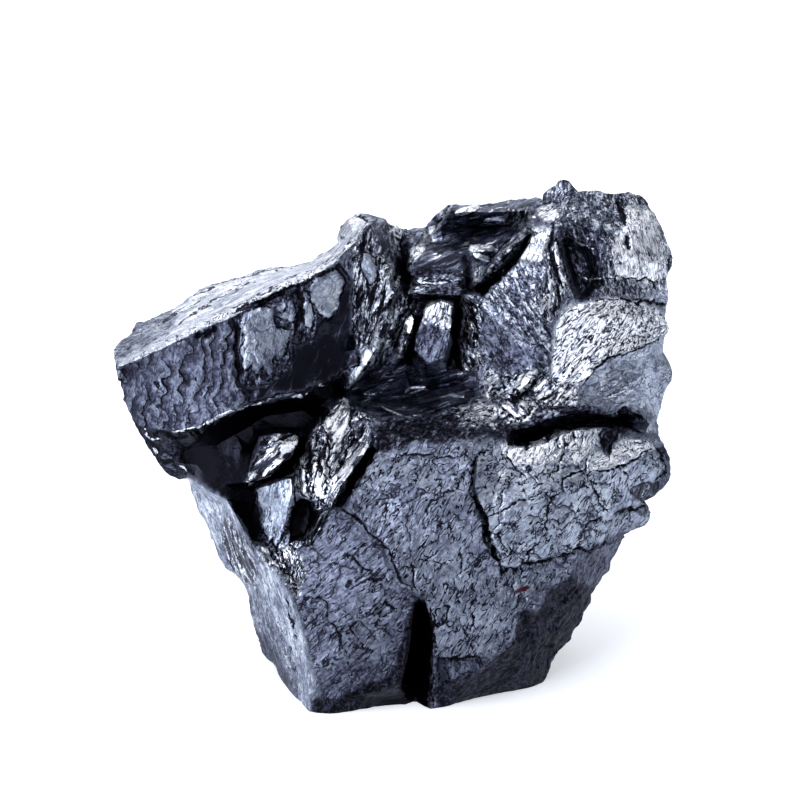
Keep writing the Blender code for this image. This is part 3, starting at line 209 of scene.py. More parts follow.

# Areas of the visible side: finish, direction of the layers in degrees, how far the area stands
# above its neighbours in millimetres, and its corners. A raised area gets a painted shadow along
# its edge. Later areas lie over earlier ones.
AREAS = {
    "left_facet": ("dull_satin", 42, 0.0, [
        (-6.8, -11.2), (-5, -11.1), (-4, -12), (-2.2, -14.2), (-1.1, -15), (-0.4, -16.8),
        (0.9, -18.7), (2.7, -20.2), (2, -24), (1, -31), (-9, -33), (-8.7, -30.8), (-8.6, -26),
        (-10.3, -20.3), (-11, -19), (-10, -15.6), (-8.4, -12.8),
    ]),
    "right_block": ("bright_satin", 50, 0.0, [
        (7.5, -6.5), (7, -9), (8.5, -11.2), (9.2, -15), (10.2, -16.9), (12, -16.7), (14, -16.1),
        (18, -15), (21, -14), (24, -13.4), (27.8, -8), (26.8, -4), (22, -3.6), (14, -3.4),
        (10.6, -4.4), (8.4, -5),
    ]),
    "arm_front": ("scaly", 85, 0.0, [
        (-28.5, 3), (-25, 4.7), (-20, 7.1), (-16.2, 8.8), (-16, 3.4), (-15, -0.3), (-18.3, -1.75),
        (-21.2, -3.2), (-24.1, -2.9), (-26.8, -1.6),
    ]),
    "arm_end": ("scaly", 80, 0.0, [
        (-28.6, 3), (-25.9, 4.2), (-25.3, 2), (-24.9, -2), (-25.5, -4.4), (-27.6, -1),
    ]),
    "arm_glass": ("glass", 70, -0.2, [
        (-16.6, 9), (-11.2, 11.2), (-9, 12), (-6.2, 13.6), (-4.9, 12), (-4.6, 7), (-3.9, 3.4),
        (-5.4, 3.1), (-7.3, 1.95), (-9.8, 0.7), (-12, 0.6), (-15, -0.2), (-16.2, 2), (-16.4, 5),
    ]),
    "arm_plate_bed": ("hatched", 86, 0.0, [
        (-16.4, 8.6), (-13.2, 9.6), (-10.6, 11), (-9.8, 11.6), (-8.6, 11.6), (-7.6, 9), (-8.6, 6.4),
        (-10, 5.4), (-11, 3.4), (-12.4, 1.8), (-14.4, 1.2), (-16, 1.6),
    ]),
    "arm_first_plate": ("plate", 86, 0.15, [
        (-16, 7.6), (-15.6, 8.7), (-14.9, 8.6), (-14.2, 9.4), (-12.9, 9.2), (-12.4, 8.2),
        (-12.2, 7.5), (-10.9, 6.9), (-11.3, 5.9), (-11.7, 4.4), (-12.2, 3.6), (-12.6, 4.4),
        (-12.9, 2.6), (-13.4, 2.1), (-13.8, 3.4), (-14.4, 2.2), (-14.9, 3.6), (-15.6, 2.9),
        (-16, 4.6), (-15.7, 6),
    ]),
    "arm_high_plate": ("plate", 80, 0.1, [(-12.6, 9.4), (-11.6, 10), (-11.3, 9.2), (-12.2, 8.8)]),
    "arm_small_plate": ("plate", 80, 0.2, [
        (-12.2, 8.6), (-11, 10.2), (-10.4, 9.6), (-10.3, 8.6), (-10.6, 7.7), (-11.8, 8),
    ]),
    "arm_strip_plate": ("plate", 88, 0.2, [
        (-9.7, 10.9), (-9.2, 10.9), (-8.9, 9.4), (-8.5, 8), (-8.9, 6.8), (-9.6, 7.2),
    ]),
    "arm_big_plate": ("pale_plate", 60, 0.25, [
        (-9.2, 11.4), (-8, 12.3), (-6.4, 13.3), (-5.6, 12), (-5.9, 10.5), (-6, 9.5), (-6.6, 8.7),
        (-7.2, 8.1), (-8.1, 8.6), (-8.9, 10),
    ]),
    "arm_top": ("sheared", 25, 0.0, [
        (-28.6, 3.4), (-24.3, 5.3), (-20, 7.7), (-15, 10.1), (-10, 12.5), (-7, 14.2), (-4.6, 16.6),
        (-3.2, 17.7), (-4.6, 19), (-6.5, 16.6), (-7.2, 15.2), (-10, 14.2), (-14, 13.4), (-18, 12.2),
        (-22, 10.2), (-26.6, 8.2), (-29.2, 5.2),
    ]),
    "arm_top_end": ("frosted", 40, 0.0, [
        (-28.8, 3.8), (-26, 5), (-23.2, 6.4), (-22.4, 8), (-23, 9.6), (-27, 7.8), (-29.2, 5.2),
    ]),
    "arm_top_rim": ("shattered", 20, 0.0, [
        (-16, 12.9), (-12.4, 13.3), (-9.2, 13.9), (-6.9, 15.2), (-6.9, 15.9), (-9, 14.6),
        (-13, 13.9), (-16, 13.3),
    ]),
    "horn": ("sheared", 60, 0.0, [
        (-6.5, 16), (-5.7, 18.4), (-4.3, 19.1), (-2.9, 17.8), (-4.2, 16.9), (-5.3, 15.7),
    ]),
    # Black glass under the arm, darkened by painted shade.
    "undercut": ("glass_in_painted_shade", 40, 0.0, [
        (-26.2, -3.6), (-24.2, -3), (-21.2, -3.3), (-18.3, -1.9), (-15, -0.5), (-9.8, 0.5),
        (-5.4, 2.9), (-4, -0.5), (-5.8, -0.6), (-8.2, -2.4), (-9.3, -4.6), (-10, -7.2),
        (-14.4, -8.6), (-14, -12.5), (-13, -15.4), (-14.8, -14.2), (-15.7, -12.6), (-17.1, -10.7),
        (-19.3, -9.3), (-21.4, -8.2), (-23.4, -7.2), (-24.6, -5.6),
    ]),
    # Painted shade on the underside of the arm.
    "keel": ("painted_shade", 60, 0.0, [
        (-27.4, -1.2), (-25.8, -2.8), (-24.3, -3.1), (-22.8, -3.5), (-21.8, -4.6), (-21.3, -6.2),
        (-20.6, -7.9), (-22.2, -8.4), (-24.8, -6.6), (-27.4, -3.4),
    ]),
    "keel_plate": ("dull_satin", 20, 0.15, [
        (-24, -5.5), (-23.3, -5), (-22.5, -5.5), (-22.6, -5.9), (-23.8, -5.9),
    ]),
    "keel_plate_low": ("dull_satin", 20, 0.15, [
        (-23.8, -6.2), (-22.6, -6.1), (-22.2, -7), (-22.6, -7.1), (-23.5, -6.6),
    ]),
    "left_face": ("silvered", 113, 0.0, [
        (-21.6, -7.5), (-19.4, -8.7), (-17.2, -10.1), (-15.7, -12.6), (-14.4, -14.9),
        (-12.6, -16.8), (-11.2, -19), (-10.3, -21), (-9.6, -23.6), (-8.8, -26.4), (-8.5, -29),
        (-9, -32.5), (-13, -29), (-14.8, -24), (-16, -18.6), (-18.4, -16), (-20.4, -11.8),
    ]),
    "left_face_low": ("frosted", 110, 0.0, [
        (-15.6, -19.5), (-14.2, -19), (-13, -21), (-11.6, -22.5), (-10.8, -26), (-10, -29),
        (-10, -32), (-14, -28), (-16.5, -20.5),
    ]),
    "left_face_rim": ("streaked", 113, 0.0, [
        (-16, -12.6), (-15.4, -13.4), (-14.4, -15), (-13.4, -16.4), (-14.2, -16.2), (-15.4, -14.8),
        (-16.2, -13.6),
    ]),
    "left_face_patch": ("shattered", 106, 0.0, [
        (-17.2, -11.4), (-16.6, -12.4), (-15.8, -14), (-14.8, -15.6), (-14.2, -17), (-14.6, -18.4),
        (-15.8, -18), (-17, -16.4), (-17.6, -14.4), (-17.5, -12.6),
    ]),
    "left_face_foot": ("dark_satin", 113, 0.0, [
        (-14.8, -23), (-13.2, -23.2), (-12, -25.5), (-10.6, -28.4), (-10, -32), (-13.5, -29.5),
    ]),
    "first_blade": ("silky", 42, 0.15, [
        (-15.5, -8.5), (-14.7, -6.9), (-14.3, -5.4), (-13.3, -4.6), (-12.4, -3.7), (-11.4, -3.4),
        (-10, -3.5), (-10.4, -4.8), (-12, -6.6), (-13.4, -7.8),
    ]),
    "first_blade_curl": ("shattered", 35, 0.0, [
        (-14.4, -5), (-13.6, -3.9), (-12, -3.1), (-10.2, -3.3), (-10.8, -4), (-12.2, -4.3),
        (-13.2, -5), (-14, -5.9),
    ]),
    "second_blade": ("silky", 60, 0.1, [
        (-9, -3.6), (-8.2, -3), (-7.6, -1.8), (-7, -1), (-5.9, 0.3), (-5.2, 0.1), (-4.9, -1.2),
        (-3.9, -1.2), (-3, -2.2), (-2.6, -4), (-4, -6.6), (-5.6, -8.9), (-6.6, -10.8), (-7.2, -8.9),
        (-8, -6),
    ]),
    "second_blade_shade": ("shattered", 65, 0.0, [
        (-4.9, -0.6), (-3.9, -1), (-3, -2.2), (-2.7, -3.6), (-3.4, -3.2), (-4.2, -2),
    ]),
    "third_blade": ("plate", 82, 0.2, [
        (-14.5, -8.8), (-12.6, -8.4), (-10.7, -7.8), (-10.5, -9.8), (-11.2, -11.5), (-11.4, -13.2),
        (-12.4, -15.4), (-12.7, -13.6), (-13.2, -14.8), (-13.5, -13), (-13.9, -13.6),
        (-13.8, -11.5), (-14.1, -10),
    ]),
    # Painted shade in the pit.
    "pit": ("glass_in_painted_shade", 80, -0.3, [
        (-10.4, -10.2), (-9.6, -9.8), (-8.8, -10.2), (-8.5, -11.4), (-8.8, -12.6), (-9.8, -13.7),
        (-10.8, -13.9), (-11.1, -13.2), (-10.8, -11.6),
    ]),
    "pit_lip": ("shattered", 62, 0.1, [
        (-6.9, -9.8), (-8.2, -10.4), (-8.5, -12.5), (-9.4, -13.9), (-10.8, -14.2), (-10.2, -15),
        (-8.8, -14.4), (-7.6, -12.4), (-6.9, -10.9),
    ]),
    "wedge": ("glass", 60, -0.3, [
        (-6.5, -10.5), (-5.9, -10.8), (-4.8, -9.2), (-3.2, -6.5), (-1.9, -4), (-2.5, -3.8),
        (-3.8, -6), (-5.6, -8.8),
    ]),
    "blade_web": ("shattered", 75, 0.0, [
        (-11, -8.3), (-10.4, -6.6), (-9.2, -4.4), (-8.6, -2.8), (-7.6, -2.4), (-7, -4.5),
        (-7.4, -7.4), (-6.6, -10.4), (-7.6, -11.2), (-8.6, -10), (-10.2, -9.2),
    ]),
    "curved_column": ("silky", 100, 0.1, [
        (-10.2, -7.2), (-9.7, -6.6), (-9.2, -7), (-9.2, -8.6), (-8.8, -9.7), (-9.7, -9.4),
        (-10.3, -8.6),
    ]),
    "small_blade": ("silky", 75, 0.1, [
        (-8.9, -5.6), (-8.1, -6), (-7.6, -7.4), (-7.3, -8.8), (-7.6, -10.4), (-8.3, -9.8),
        (-8.8, -8),
    ]),
    "blade_rubble": ("rubbly", 100, 0.0, [
        (-14.2, -14.4), (-12.4, -15.4), (-11.2, -14.4), (-10, -15.2), (-9.6, -16.8), (-10.2, -19.8),
        (-11.4, -18.2), (-13.2, -16.2),
    ]),
    # Painted shade: the facet darkens towards the foot, where it turns down.
    "facet_foot": ("dark_satin", 50, 0.0, [
        (-8, -27.6), (-6, -26.2), (-3.6, -26.6), (-1.4, -25.4), (0.2, -23.2), (1, -21.2),
        (2, -21.4), (1.4, -26), (0.4, -29), (-1, -30.6), (-8.6, -33),
    ]),
    # Painted shade towards the foot of the facet.
    "facet_toe": ("painted_shade", 40, 0.0, [
        (-5.6, -29.4), (-3.4, -28.2), (-1, -27.6), (0.4, -25.6), (1, -23.4), (1.6, -24), (0.8, -28),
        (-0.4, -30.4), (-4.6, -31.6),
    ]),
    "foot_ribs": ("dark_satin", 90, 0.0, [
        (3.2, -25.7), (5.4, -25.9), (8, -25.6), (9.4, -26.4), (7.4, -28.4), (5, -29.2),
        (3.4, -29.4),
    ]),
    # Painted shade beside the notch, darkening towards the foot.
    "notch_side": ("painted_shade", 90, 0.0, [
        (1.6, -19.8), (0.8, -21.8), (0.1, -24.6), (-0.4, -26.6), (-1.4, -28), (-4.2, -29.1),
        (-8.6, -30.2), (-9.2, -33), (0.6, -31.8), (2, -26), (2.2, -21),
    ]),
    # Painted shade in the notch.
    "notch": ("glass_in_painted_shade", 90, -0.1, [
        (1.9, -19.9), (1.4, -21.4), (0.9, -24), (0.5, -26.3), (-0.2, -28.2), (-1.4, -29.4),
        (-3.4, -29.5), (-3.6, -31.4), (2.9, -31.8), (3, -29.3), (3, -26), (3.3, -24.4), (3, -21.6),
        (2.5, -20.3),
    ]),
    "foot_plate_slot": ("glass", 90, -0.3, [(3.9, -26), (4.6, -26), (4.7, -28.8), (4, -28.9)]),
    "block_back": ("hatched", 60, 0.0, [
        (-2.6, -3), (-1.5, -1.9), (1, -2), (3, -1.6), (5, -1.2), (7.4, -0.8), (10.4, -2.6),
        (10.6, -3.8), (8, -3.6), (5.4, -3.9), (3.6, -4.4), (1.6, -4), (0.4, -4.8), (-2, -5),
    ]),
    "block_back_slab": ("scratchy", 75, 0.0, [
        (-4.6, -2.4), (-3.4, -1.9), (-2.4, -2.8), (-3, -4.6), (-3.9, -4.2),
    ]),
    "block_back_flakes": ("rubbly", 40, 0.0, [
        (5.2, -0.9), (7.6, -0.4), (10, -1.4), (10, -2.4), (8.4, -2.6), (6.4, -2.4),
    ]),
    # Painted shade over the lower right facet.
    "dark_facet": ("painted_shade", 50, 0.0, [
        (21.6, -13.2), (20.5, -14.8), (18.5, -15), (17.6, -16.4), (17, -18), (15.6, -18.7),
        (14.5, -19.2), (14.2, -20.5), (13.5, -21.3), (12.5, -20.9), (12, -21.2), (11.8, -22.5),
        (11.5, -23.8), (10.3, -24.9), (9.2, -26), (8.2, -26.9), (6, -27.6), (3.4, -29), (4, -31.6),
        (13.5, -30), (16.5, -25.8), (21.6, -17), (23, -13.2),
    ]),
    "corner_facet": ("dark_satin", 50, 0.0, [
        (18.4, -14.8), (22, -13), (22, -15.4), (20, -18.8), (17.4, -18.2), (17.2, -16.2),
    ]),
    "crack_shadow": ("hatched", 20, 0.3, [
        (10.4, -2.6), (12, -2.2), (13.4, -1.4), (15, -0.6), (18, -0.4), (20, -0.6), (21.6, -1),
        (21, -1.7), (18, -1.8), (16, -2), (13.6, -2.8), (12.2, -3.8), (11, -4.6),
    ]),
    # Painted shade in the mouth of the crack.
    "crack_mouth": ("glass_in_painted_shade", 0, -0.1, [
        (11.3, -4.1), (12.2, -3.5), (13.7, -2.9), (14.6, -2.5), (15.6, -2.1), (18, -1.8),
        (19.9, -1.5), (21.4, -1.8), (22.4, -1.2), (24, -1.7), (22.7, -2.2), (24.1, -3.2),
        (22.8, -3), (20.2, -2.7), (18, -2.8), (16, -3), (14.5, -3.4), (13.2, -4.4), (11.8, -4.6),
    ]),
    "crack_tongue": ("scratchy", 6, 0.0, [
        (14.8, -2.9), (16, -2.4), (18, -2.1), (20, -2), (20.9, -2.3), (19.6, -2.5), (17.6, -2.6),
        (16, -2.8),
    ]),
    "crack_lip": ("combed", 62, 0.0, [
        (10.2, -4.4), (11.8, -4.6), (13.2, -4.6), (14.7, -3.7), (16.4, -3.1), (18.2, -3),
        (20.4, -3), (19.6, -4.2), (18.8, -5.4), (17.4, -6.4), (15.6, -6.2), (13.6, -6.4),
        (11.6, -6.4), (10.4, -5.6),
    ]),
    "bulge_top": ("combed", 30, 0.0, [
        (20.8, -5.4), (21.8, -4.4), (23.2, -3.8), (25, -4.3), (25.4, -4.8), (23.4, -5.9),
        (21.2, -6.9), (19.4, -7.1), (18.8, -6.4), (19.4, -5.2),
    ]),
    "bulge_hollow": ("hatched", 66, 0.0, [
        (19.5, -2.4), (20.2, -3.2), (20, -4.2), (20.5, -5.3), (20.9, -5.9), (21.2, -5), (21.9, -4),
        (22.6, -3), (22.3, -2.2),
    ]),
    "bulge_rim": ("dark_satin", 100, 0.0, [
        (25.9, -4.6), (26.8, -4.6), (27.8, -6.4), (27.6, -8.2), (26.2, -9.2), (25.6, -8.6),
        (26.5, -7.4), (26.6, -6),
    ]),
    "bulge_cavity": ("hatched", 75, -0.2, [
        (23.2, -9.2), (24.4, -8.3), (25.8, -8.2), (25.8, -9.2), (24.6, -10.2), (23.8, -9.9),
    ]),
    "shell_patch": ("plate", 20, 0.0, [
        (26.8, 6.8), (25.1, 5.5), (24, 5), (22, 4.5), (20.5, 3.8), (19.2, 2.7), (18.2, 1.3),
        (17.9, -0.2), (19, -0.9), (20.7, -1.4), (21.4, -1.3), (22.4, -0.5), (24, -1.5),
        (26.2, -1.8), (27.4, 2.8),
    ]),
    "shell_light": ("frosted", 20, 0.0, [
        (19.6, 0.6), (20.4, 2), (22.6, 2.3), (23.4, 1.2), (22, 0.2), (20.6, -0.6),
    ]),
    "crack_end_light": ("plate", 0, 0.0, [(23.4, -2.1), (25.8, -2.1), (26, -3.7), (24.2, -3.1)]),
    "rubble": ("rubbly", 50, 0.0, [
        (8.3, 3), (10.4, 2.6), (13.2, 3.8), (15.2, 2.2), (17.8, 1.2), (18, -0.6), (14.4, -0.8),
        (12.9, -2.2), (9.8, -2.8), (7, -2.2), (7.2, -0.4), (8.3, 0.6),
    ]),
    "pale_lump": ("silky", 130, 0.1, [
        (10.2, 0.4), (11.5, 0.7), (12.5, -0.2), (12.9, -1.2), (12, -1.9), (10.9, -1.5), (10, -0.6),
    ]),
    "mottled_lump": ("speckled", 20, 0.0, [
        (7.4, -0.6), (8.6, -0.1), (9.8, -0.6), (9.9, -1.6), (8.8, -2.2), (7.6, -1.8),
    ]),
    "middle_face": ("streaked", 125, 0.0, [
        (8.2, 10.4), (12.9, 16.2), (14.9, 17.2), (15.2, 12.2), (15.4, 9), (15.2, 5.4), (14.9, 2.4),
        (13.4, 3.6), (11.4, 2.6), (8.4, 3.8), (7.7, 8),
    ]),
    "middle_shade": ("dark_satin", 120, 0.0, [
        (7.9, 9), (9, 8.2), (10.6, 6.6), (12.6, 5.4), (14.2, 4.6), (13.4, 3), (11.2, 2.6), (9.4, 4),
        (8, 6),
    ]),
    "middle_band": ("frosted", 137, 0.0, [
        (7.9, 10.2), (8.6, 10), (10.2, 8.2), (12, 6.8), (13.4, 6.2), (12.9, 5.6), (11.2, 6.6),
        (9.4, 7.9), (8.2, 9.3),
    ]),
    "rough_face": ("speckled", 48, 0.0, [
        (15.9, 8.9), (18, 9.6), (20.1, 10.1), (23.7, 10.1), (25.2, 9.2), (26.9, 8.4), (26.9, 7),
        (25.4, 5.8), (23, 4.8), (21, 4.4), (19.2, 2.7), (18.1, 1.4), (16.4, 1.6), (15, 2.3),
        (15.3, 5.6),
    ]),
    "rim_patch": ("plate", 10, 0.0, [(24.4, 9.4), (26.9, 9), (27.2, 11.2), (25.4, 11.1)]),
    "upper_right": ("scratchy", 96, 0.0, [
        (14.4, 20.4), (16, 22.4), (18, 21.2), (24.6, 20.8), (27.6, 15), (27.4, 11), (25, 10.9),
        (24, 10.2), (20.2, 10.3), (20, 12), (19.5, 14.5), (18, 17), (15.6, 17.4),
    ]),
    "upper_right_sheen": ("combed", 98, 0.0, [
        (22, 12.2), (24.6, 11.4), (26.6, 12.6), (26.6, 15.4), (24.8, 19.4), (22.6, 19.4),
        (21.8, 16.6), (21.2, 14),
    ]),
    "upper_right_top": ("streaked", 97, 0.0, [
        (17.6, 20.6), (22, 20.6), (22, 17.4), (21, 15.8), (19.6, 16.4), (17.8, 17.6),
    ]),
    "crest": ("streaked", 80, 0.0, [
        (14.3, 19.6), (15, 21.4), (16.4, 22.4), (18.2, 21.2), (17.6, 19.6), (16, 19.2),
    ]),
    "dark_hollow": ("hatched", 110, 0.0, [
        (15.7, 17.3), (16.6, 17), (18, 17.2), (19.8, 16.8), (20.6, 15), (20.4, 13.4), (20.6, 11.6),
        (19.6, 10.6), (18.2, 9.8), (17.4, 11.2), (16.8, 13.2), (16.2, 15.2),
    ]),
    "crest_knob": ("speckled", 30, 0.0, [
        (13.4, 18.2), (13.8, 19.4), (15, 20), (16, 18.8), (15.9, 18), (14.8, 17.8),
    ]),
    "spine_light": ("combed", 70, 0.0, [
        (12.7, 16.6), (13.5, 17.4), (15.1, 17.1), (14.8, 15.6), (14.2, 14), (12.8, 13.6),
        (11.6, 14.4),
    ]),
    "spine_shade": ("shattered", 100, 0.0, [
        (14.9, 15.6), (15.7, 16.8), (16.2, 14), (16.9, 11.6), (16.2, 9.6), (14.9, 7.6), (13.8, 8.8),
        (14.4, 11.4),
    ]),
    "alcove": ("deep_glass", 28, 0.0, [
        (2.2, 14.4), (2.6, 15.8), (3.9, 17.6), (5, 19.2), (13.4, 19.9), (14, 17.8), (12.7, 17),
        (9, 13), (8.4, 12), (6.6, 12.6), (3.6, 12.6), (1.4, 12.9),
    ]),
    "alcove_edge": ("silky", 58, 0.0, [
        (0.9, 13.9), (1.7, 15.4), (3, 17.2), (4.3, 19.4), (5.1, 19.4), (4.3, 18), (3, 16.2),
        (2, 14.4),
    ]),
    "alcove_wall": ("shattered", 75, 0.0, [
        (10.4, 17.4), (10.6, 19.2), (13, 19.4), (13.2, 17.8), (12.2, 17.2),
    ]),
    "fin": ("scratchy", 48, 0.15, [
        (13.3, 17.1), (12.4, 17.3), (11, 15.9), (9.3, 14.2), (8.5, 12.4), (9.1, 12.1), (10.2, 13.2),
        (11.8, 15),
    ]),
    # Painted shade in the gap behind the fin.
    "fin_gap": ("glass_in_painted_shade", 48, -0.2, [
        (13.1, 16.5), (11.4, 14.4), (10, 12.8), (8.9, 11.9), (7.6, 11.2), (8, 10.5), (9.2, 11.2),
        (10.6, 12.6), (12.4, 14.9),
    ]),
    "ledge": ("hatched", 8, 0.0, [
        (0.6, 12.8), (3, 13.2), (5.6, 13), (7.2, 12.2), (7.4, 10.8), (5, 9.9), (2.6, 9.6),
        (0.6, 9.8),
    ]),
    "ledge_band": ("shattered", 4, 0.0, [
        (0.7, 11.9), (2.6, 12.1), (4.6, 12.3), (5.3, 11.9), (4.6, 11.3), (2.6, 11.1), (0.7, 11),
    ]),
    # Painted shade on the ledge's tooth.
    "ledge_tooth": ("glass_in_painted_shade", 90, 0.0, [
        (6.2, 14.6), (6.9, 14.8), (7.2, 12.4), (7, 10.8), (6.4, 11.6),
    ]),
    "ledge_plate": ("speckled", 70, 0.0, [(7.4, 13.6), (8.5, 13.2), (8.4, 12.4), (7.6, 11.4)]),
    "lens_top": ("speckled", 80, 0.0, [
        (2.4, 8.7), (3.2, 9.8), (4.2, 10), (5.3, 9.6), (5.2, 7.8), (5, 5.6), (3, 6.6), (1.9, 6.8),
    ]),
    "lens_foot": ("dark_satin", 80, 0.0, [
        (2.2, 7.3), (3.2, 7.8), (4, 7.2), (4.9, 7), (5, 5.5), (4.6, 4.4), (3.3, 3.5), (2, 4),
        (1.2, 5),
    ]),
    # Painted shade in the slot right of the lens.
    "slot_right_of_lens": ("glass_in_painted_shade", 85, -0.1, [
        (5.4, 9.6), (5.9, 10.4), (6.2, 9), (5.9, 7.4), (5.7, 5), (6.2, 3), (4.8, 3), (5.2, 5.4),
        (5.1, 6.8),
    ]),
    "slot_wall": ("shattered", 118, 0.0, [
        (6.2, 10.4), (8.2, 9.8), (7.9, 6), (8.4, 3.4), (6.4, 2.8), (6, 5), (6.3, 7.4),
    ]),
    # Painted shade in the slot left of the lens.
    "slot_left_of_lens": ("glass_in_painted_shade", 80, -0.1, [
        (2.5, 9.3), (1.6, 9.8), (0.9, 8), (0.8, 5.4), (-0.6, 3.4), (3, 3.2), (1.3, 4.8), (1.6, 6.3),
    ]),
    "ribs": ("shattered", 66, 0.0, [
        (1, 11.5), (-0.6, 9.8), (-1.6, 8.8), (-3, 4), (-5.4, 1.6), (-3.7, 2.8), (-1.4, 3.8),
        (0.2, 4.8), (1.4, 7.6), (2, 9.6),
    ]),
    "crumple": ("shattered", 78, 0.0, [
        (-5, 15), (-3.4, 17), (-1, 17.6), (0.8, 16.4), (1, 14), (0.6, 12), (-1.4, 9), (-3, 5.6),
        (-4.5, 5), (-4.7, 8), (-4.8, 12),
    ]),
    "fish_plate": ("plate", 105, 0.1, [
        (-3.7, 15), (-3, 14.6), (-2.4, 13.4), (-2.3, 12.2), (-3, 11.5), (-3.9, 13.2),
    ]),
    "horn_facet": ("deep_glass", 60, 0.0, [
        (-2.9, 17.4), (-1.9, 16.6), (-1.2, 15.2), (-1.6, 14), (-2.4, 14.6), (-2.7, 16),
    ]),
    # Painted shade along the saddle.
    "saddle_line": ("glass_in_painted_shade", 70, -0.1, [
        (0.1, 16.4), (0.9, 16), (0.8, 14), (1, 11.6), (0.5, 10.4), (0, 12.4), (0.2, 14.4),
    ]),
    "central_cavity": ("deep_glass", 20, 0.0, [
        (-5.6, 1.2), (-3.7, 2.9), (-1.5, 3.4), (2, 3.5), (5, 3), (7.4, 3), (8, 1), (7, -0.6),
        (4, -1.1), (1, -1.7), (-1.6, -1.8), (-4, -0.9),
    ]),
}

